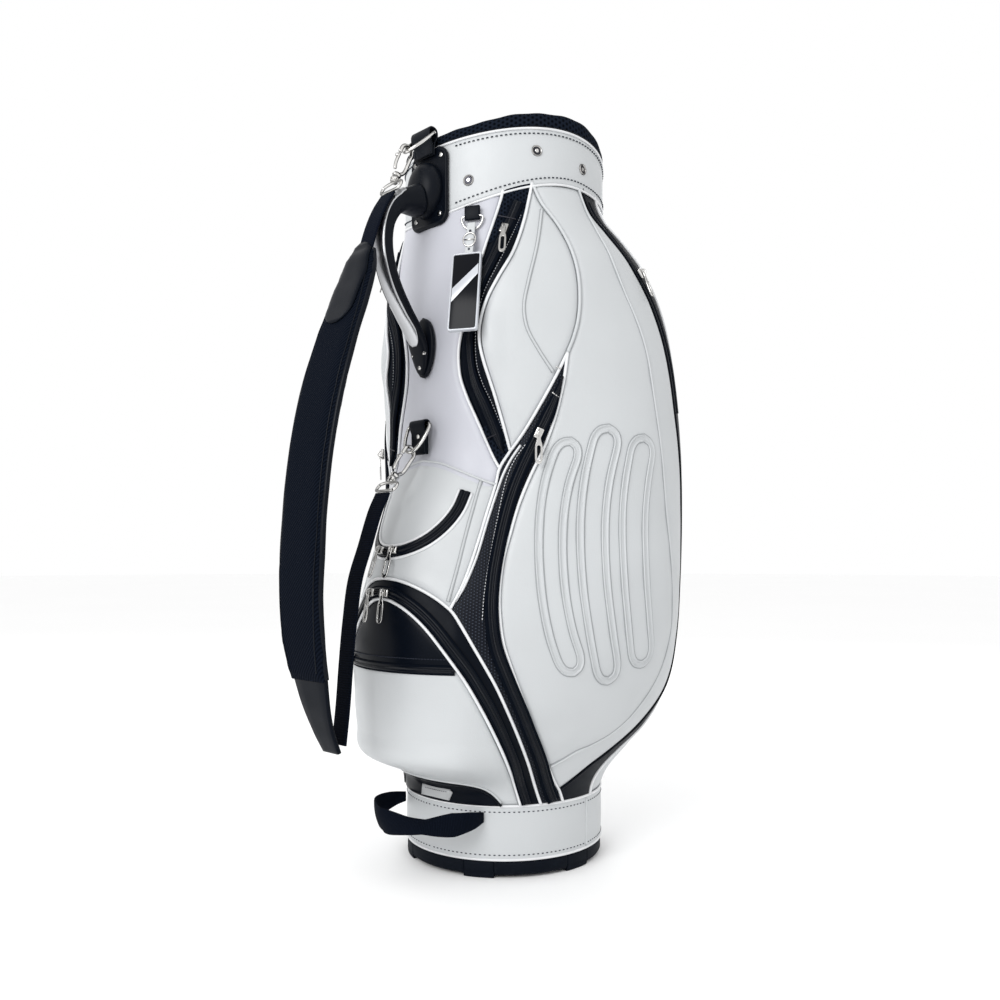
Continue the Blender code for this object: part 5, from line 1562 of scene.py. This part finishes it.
def make_strap():
    """Leader webbing, shoulder pad with its bound edges, leather tail and lower webbing."""
    leader = ribbon("strap_leader_webbing", smooth_line(in_plane(LEADER), 0.002), X_AXIS,
                    flat_section(0.025, 0.003), WEBBING, "strap")
    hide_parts("strap_leader")
    line = smooth_line(in_plane(PAD), 0.004)
    knots = lengths_along(in_plane(PAD))
    widths = spline_weights(knots, np.linspace(0, knots[-1], len(line)), False) @ np.array(PAD_WIDTHS)
    ends = np.minimum(np.arange(len(line)), np.arange(len(line))[::-1])
    thick = PAD_THICK * np.interp(ends, (0, 3), (0.6, 1.0)) - 0.002
    sections = [oval(w + 0.001, t, 32, 0.55) for w, t in zip(widths, thick)]
    pad = ribbon("shoulder_pad", line, X_AXIS, sections, PAD_MESH, "strap")
    inflate(pad)
    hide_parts("strap_pad")
    inset = slice(1, len(line) - 1)
    half = widths[inset] / 2
    for word, side in SIDES:
        outward_x = np.tile((float(side), 0.0, 0.0), (len(half), 1))
        edge = line[inset] + outward_x * half[:, None]
        slip = np.abs(resting_on(pad, edge, outward_x, -0.0014)[:, 0]) - half
        slip = np.convolve(np.pad(np.minimum(slip, -0.0015), 4, "edge"), np.full(9, 1 / 9), "valid")
        edge[:, 0] = side * (half + slip)
        tube(f"pad_binding_{word}", edge, 0.0030, BLACK_VINYL, "strap", step=0.004, sides=12)
    out = np.cross((1.0, 0, 0), directions(line))
    out *= -np.sign(out[:, 1:2])
    for word, side in SIDES:
        keep = slice(3, len(line) - 3)
        side_line = line[keep] + np.array((side, 0, 0)) * (widths[keep, None] / 2 - 0.0085)
        side_line = resting_on(pad, side_line, out[keep], 0.0001)
        tube(f"pad_seam_{word}", side_line, 0.0007, BLACK_VINYL, "strap", step=0.004, sides=8)
    make_pad_patch(pad, line, widths, out)
    smooth = pad.modifiers.new("smooth", "SUBSURF")
    smooth.levels = smooth.render_levels = 1
    tail_line = smooth_line(in_plane(TAIL), 0.003)
    tail_widths = np.interp(np.linspace(0, 3, len(tail_line)), range(4), TAIL_WIDTHS)
    tail = ribbon("strap_tail_leather", tail_line, X_AXIS, [flat_section(w, 0.005) for w in tail_widths],
                  BLACK_LEATHER, "strap")
    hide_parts("strap_tail")
    lower = ribbon("strap_lower_webbing", smooth_line(in_plane(STRAP_WEBBING), 0.002), X_AXIS,
                   flat_section(0.025, 0.0028), WEBBING, "strap")
    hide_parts("strap_webbing")


def make_pad_patch(pad, line, widths, out):
    """The rounded leather piece sewn over the top of the shoulder pad, where the leader webbing goes in."""
    lengths = lengths_along(line)
    rows = np.linspace(-0.004, 0.098, 27)
    share = (rows - rows[0]) / (rows[-1] - rows[0])
    half = np.interp(rows, (-0.004, 0.012, 0.036, 0.060, 0.098), (0.0135, 0.0185, 0.0245, 0.0240, 0.0225))
    half = half * np.clip(1 - ((share - 0.82) / 0.185).clip(0) ** 2, 0.03, 1) ** 0.5
    half = half * np.clip(1 - ((0.10 - share) / 0.105).clip(0) ** 2, 0.10, 1) ** 0.5
    centre, normal = (read_along(rows, lengths, values) for values in (line, out))
    centre[rows < 0] += directions(line)[0] * rows[rows < 0][:, None]
    pad_half = np.interp(rows, lengths, widths) / 2
    rings = []
    for spot in np.linspace(-1, 1, 15):
        crown = (PAD_THICK / 2 + 0.0016) * np.clip(1 - np.abs(spot * half / (pad_half + 0.004)) ** 3.2, 0.05,
                                                   1) ** 0.6
        ramp = np.clip((rows + 0.010) / 0.030, 0, 1) ** 0.5
        rings.append(centre + np.array((1.0, 0, 0)) * (spot * half)[:, None] + normal
                     * (crown * (0.5 + 0.5 * ramp))[:, None])
    points = np.stack(rings, axis=1)
    for number in range(points.shape[1]):
        points[:, number] = resting_on(pad, points[:, number], normal, 0.0009)
    mesh = grid_mesh("pad_patch", points)
    patch = new_piece("pad_patch", mesh, BLACK_LEATHER, "strap")
    wall = patch.modifiers.new("thickness", "SOLIDIFY")
    wall.thickness = 0.0022
    wall.offset = 0.0


def make_ring_set():
    make_tab("upper", UPPER_ROLL, 0.032, 0.024, WEDGE_LEATHER, 1.35, False)
    make_tab("lower", LOWER_ROLL, 0.026, 0.034, BLACK_LEATHER)
    for word, roll, hang, down in (("upper", UPPER_ROLL, UPPER_HANG, UPPER_HOOK),
                                   ("lower", LOWER_ROLL, LOWER_HANG, LOWER_HOOK)):
        make_ring(word, roll, hang)
        make_hook(word, roll + hang * RING_DEPTH + down * HOOK_PLAY, down)


# ---- hanging tag and grab loop ----
TAG_ANGLE = 28
TAG_ROLL_HEIGHT = 0.7530


def make_tag():
    out = Vector(around(TAG_ANGLE, 1.0, 0.0)[0])
    side = Vector(around(TAG_ANGLE + 90, 1.0, 0.0)[0])
    roll = Vector(around(TAG_ANGLE, 0.1300, TAG_ROLL_HEIGHT)[0])
    place = frame_matrix(roll, side, Z_AXIS)
    tab = block("tag_tab", (0.018, 0.0045, 0.016), place @ Matrix.Translation((0, 0.0005, 0)), BLACK_LEATHER,
                edge=0.0012)
    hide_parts("towel_tab")
    points = [(x, -0.004) for x in (-0.0105, -0.0035, 0.0035, 0.0105)]
    points += [(0.0125 * math.cos(t), -0.006 - 0.013 * math.sin(t)) for t in np.linspace(0, math.pi, 11)]
    ring = tube("tag_ring", [place @ Vector((x, 0, z)) for x, z in points], 0.0012, NICKEL, "towel_ring",
                closed=True, step=0.0008)
    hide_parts("towel_ring")
    lean = place @ Vector((0, 0, -0.0155))
    hang = (out * 0.20 - Z_AXIS).normalized()
    face = (out - hang * out.dot(hang)).normalized()
    loop = [lean + out * 0.0032 - hang * 0.0030, lean + out * 0.0042 + hang * 0.006,
            lean + out * 0.005 + hang * 0.018]
    loop += [lean + out * 0.005 + hang * 0.036]
    line = smooth_line([tuple(p) for p in loop], 0.001)
    strap = ribbon("tag_strap_leather", line, tuple(side), flat_section(0.010, 0.0024), WHITE_LEATHER, "tag")
    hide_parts("tag_strap")
    front = [lean + out * 0.0062 + hang * d for d in (0.0075, 0.0300)]
    for index, spot in enumerate(front):
        hole = frame_matrix(spot, side, face)
        turned(f"tag_eyelet_{index}", [(0.0014, -0.0004), (0.0014, 0.0003), (0.0004, 0.0003)], hole,
               DARK_METAL, "tag", 12)
    spot = frame_matrix(lean + out * 0.0068 + hang * 0.0185, side, face)
    oval_ring = [spot @ Vector((0.0072 * math.cos(t), 0.0082 * math.sin(t), 0))
                 for t in np.linspace(0, 2 * math.pi, 20, endpoint=False)]
    tube("tag_oval_ring", oval_ring, 0.0009, NICKEL, "tag", closed=True, step=0.0008, sides=10)
    bar = [spot @ Vector((x, 0, 0.0002)) for x in (-0.0068, 0.0068)]
    tube("tag_oval_bar", bar, 0.0007, NICKEL, "tag", smooth=False, sides=8)
    slab = frame_matrix(lean + out * 0.0098 + hang * 0.083, side, face)
    outlines = [rounded_box(0.034, 0.092, 0.003), rounded_box(0.0300, 0.088, 0.002)]
    frame_piece = flat_piece("tag_clear_frame", outlines, 0.0060, slab, TAG_FILM_AND_GLARE, "tag", 0.0008)
    core = block("tag_slab", (0.0302, 0.0882, 0.0046), slab, GLOSS, "tag", 0.0006)
    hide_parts("tag_sleeve")
    # A thin light band slanting across the dark tag: painted glare on its clear sleeve.
    painted_glare = [(-0.0145, -0.012), (0.0145, 0.020), (0.0145, 0.032), (-0.0145, 0.004)]
    flat_piece("tag_painted_glare", [painted_glare], 0.0004, slab @ Matrix.Translation((0, 0, 0.0024)), TAG_FILM_AND_GLARE, "tag",
               0.0001)


GRAB_PATH = (
    (-0.0680, -0.1045, 0.0700), (-0.0695, -0.1210, 0.0700), (-0.0630, -0.1460, 0.0700),
    (-0.0430, -0.1680, 0.0700),
    (-0.0150, -0.1805, 0.0700), (0.0150, -0.1805, 0.0700), (0.0430, -0.1680, 0.0700),
    (0.0630, -0.1460, 0.0700),
    (0.0695, -0.1210, 0.0700), (0.0680, -0.1045, 0.0700),
)


def make_grab_loop():
    """Soft webbing that leans and turns a little on its way round."""
    line = smooth_line(GRAB_PATH, 0.003)
    t = np.linspace(0, 1, len(line))
    droop = np.sin(np.pi * t) ** 2
    line[:, 2] -= 0.004 * droop
    lean = np.interp(t, (0, 0.2, 0.42, 0.56, 0.68, 0.80, 1), np.radians((0, 14, 8, -38, -58, -16, 0)))
    out = np.cross(directions(line), (0, 0, 1.0))
    across = np.array((0, 0, 1.0)) * np.cos(lean)[:, None] + out * np.sin(lean)[:, None]
    width = np.interp(t, (0, 0.10, 0.25, 0.45, 0.60, 0.70, 0.82, 0.92, 1),
                      (0.012, 0.020, 0.028, 0.027, 0.022, 0.021, 0.026, 0.020, 0.012))
    sections = []
    for wide, share in zip(width, t):
        section = flat_section(wide, 0.0024, 9)
        bend = 0.0022 * math.sin(math.pi * share) * (1 - (section[:, 0] / (wide / 2)) ** 2)
        sections.append(section + np.column_stack((np.zeros(len(section)), bend)))
    loop = ribbon("grab_loop_webbing", line, across, sections, LOOP_WEBBING, "grab_loop")
    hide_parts("grab_loop")


# ---- build ----
make_spine()
make_front_pocket()
make_ball_pocket()
for side_word, side_sign in SIDES:
    make_upper_pocket(side_word, side_sign)
    make_garment_pocket(side_word, side_sign)
    make_gusset(side_word, side_sign)
make_back()
make_zips()
make_sliders()
make_base()
make_base_band()
make_collar()
make_rim()
make_mouth()
make_handle()
make_ring_set()
make_strap()
make_tag()
make_grab_loop()


# ---- floor, light and camera ----
CAMERA_TURN = 44  # degrees round from the spine
CAMERA_DISTANCE = 1.15
CAMERA_HEIGHT = 0.356
CAMERA_LENS = 32.7  # millimetres, for a frame 36 mm wide
SKY_STRENGTH = 1.0
FLOOR_HALF = 30
AIM_HEIGHT = 0.45  # the lights point at this height on the bag's axis


def make_floor():
    mesh = bpy.data.meshes.new("floor")
    corners = [(x * FLOOR_HALF, y * FLOOR_HALF, 0) for x, y in ((-1, -1), (1, -1), (1, 1), (-1, 1))]
    mesh.from_pydata(corners, [], [(0, 1, 2, 3)])
    floor = bpy.data.objects.new("floor", mesh)
    bpy.context.scene.collection.objects.link(floor)
    finish = Finish("pale_floor", (0.975, 0.975, 0.975), 0.95, specular=0.02)
    finish.mottle(0.6, 0.005)
    mesh.materials.append(finish.material)


def make_light(name, turn, height, distance, size, power):
    """A soft square light round from the camera by turn degrees, aimed at the bag."""
    light = bpy.data.lights.new(name, "AREA")
    light.shape = "RECTANGLE"
    light.size, light.size_y = size
    light.energy = power
    obj = bpy.data.objects.new(name, light)
    spot = Vector(around(CAMERA_TURN + turn, distance, height)[0])
    obj.location = spot
    obj.rotation_euler = (Vector((0, 0, AIM_HEIGHT)) - spot).to_track_quat("-Z", "Y").to_euler()
    bpy.context.scene.collection.objects.link(obj)


def make_studio():
    scene = bpy.context.scene
    scene.view_settings.view_transform = "Standard"
    world = bpy.data.worlds.new("studio")
    scene.world = world
    world.use_nodes = True
    background = world.node_tree.nodes["Background"]
    background.inputs["Color"].default_value = (1.0, 1.0, 1.0, 1.0)
    background.inputs["Strength"].default_value = SKY_STRENGTH
    make_light("key", -32, 1.6, 2.6, (1.5, 1.3), 38)
    make_light("back", 170, 1.8, 2.3, (1.2, 1.2), 10)
    camera = bpy.data.cameras.new("camera")
    camera.lens = CAMERA_LENS
    camera.sensor_width = 36
    camera.shift_x, camera.shift_y = -0.004, 0.0646
    camera.clip_start, camera.clip_end = 0.05, 100
    obj = bpy.data.objects.new("camera", camera)
    obj.location = around(CAMERA_TURN, CAMERA_DISTANCE, CAMERA_HEIGHT)[0]
    obj.rotation_euler = (math.radians(90), 0, math.radians(CAMERA_TURN))
    scene.collection.objects.link(obj)
    scene.camera = obj


make_floor()
make_studio()
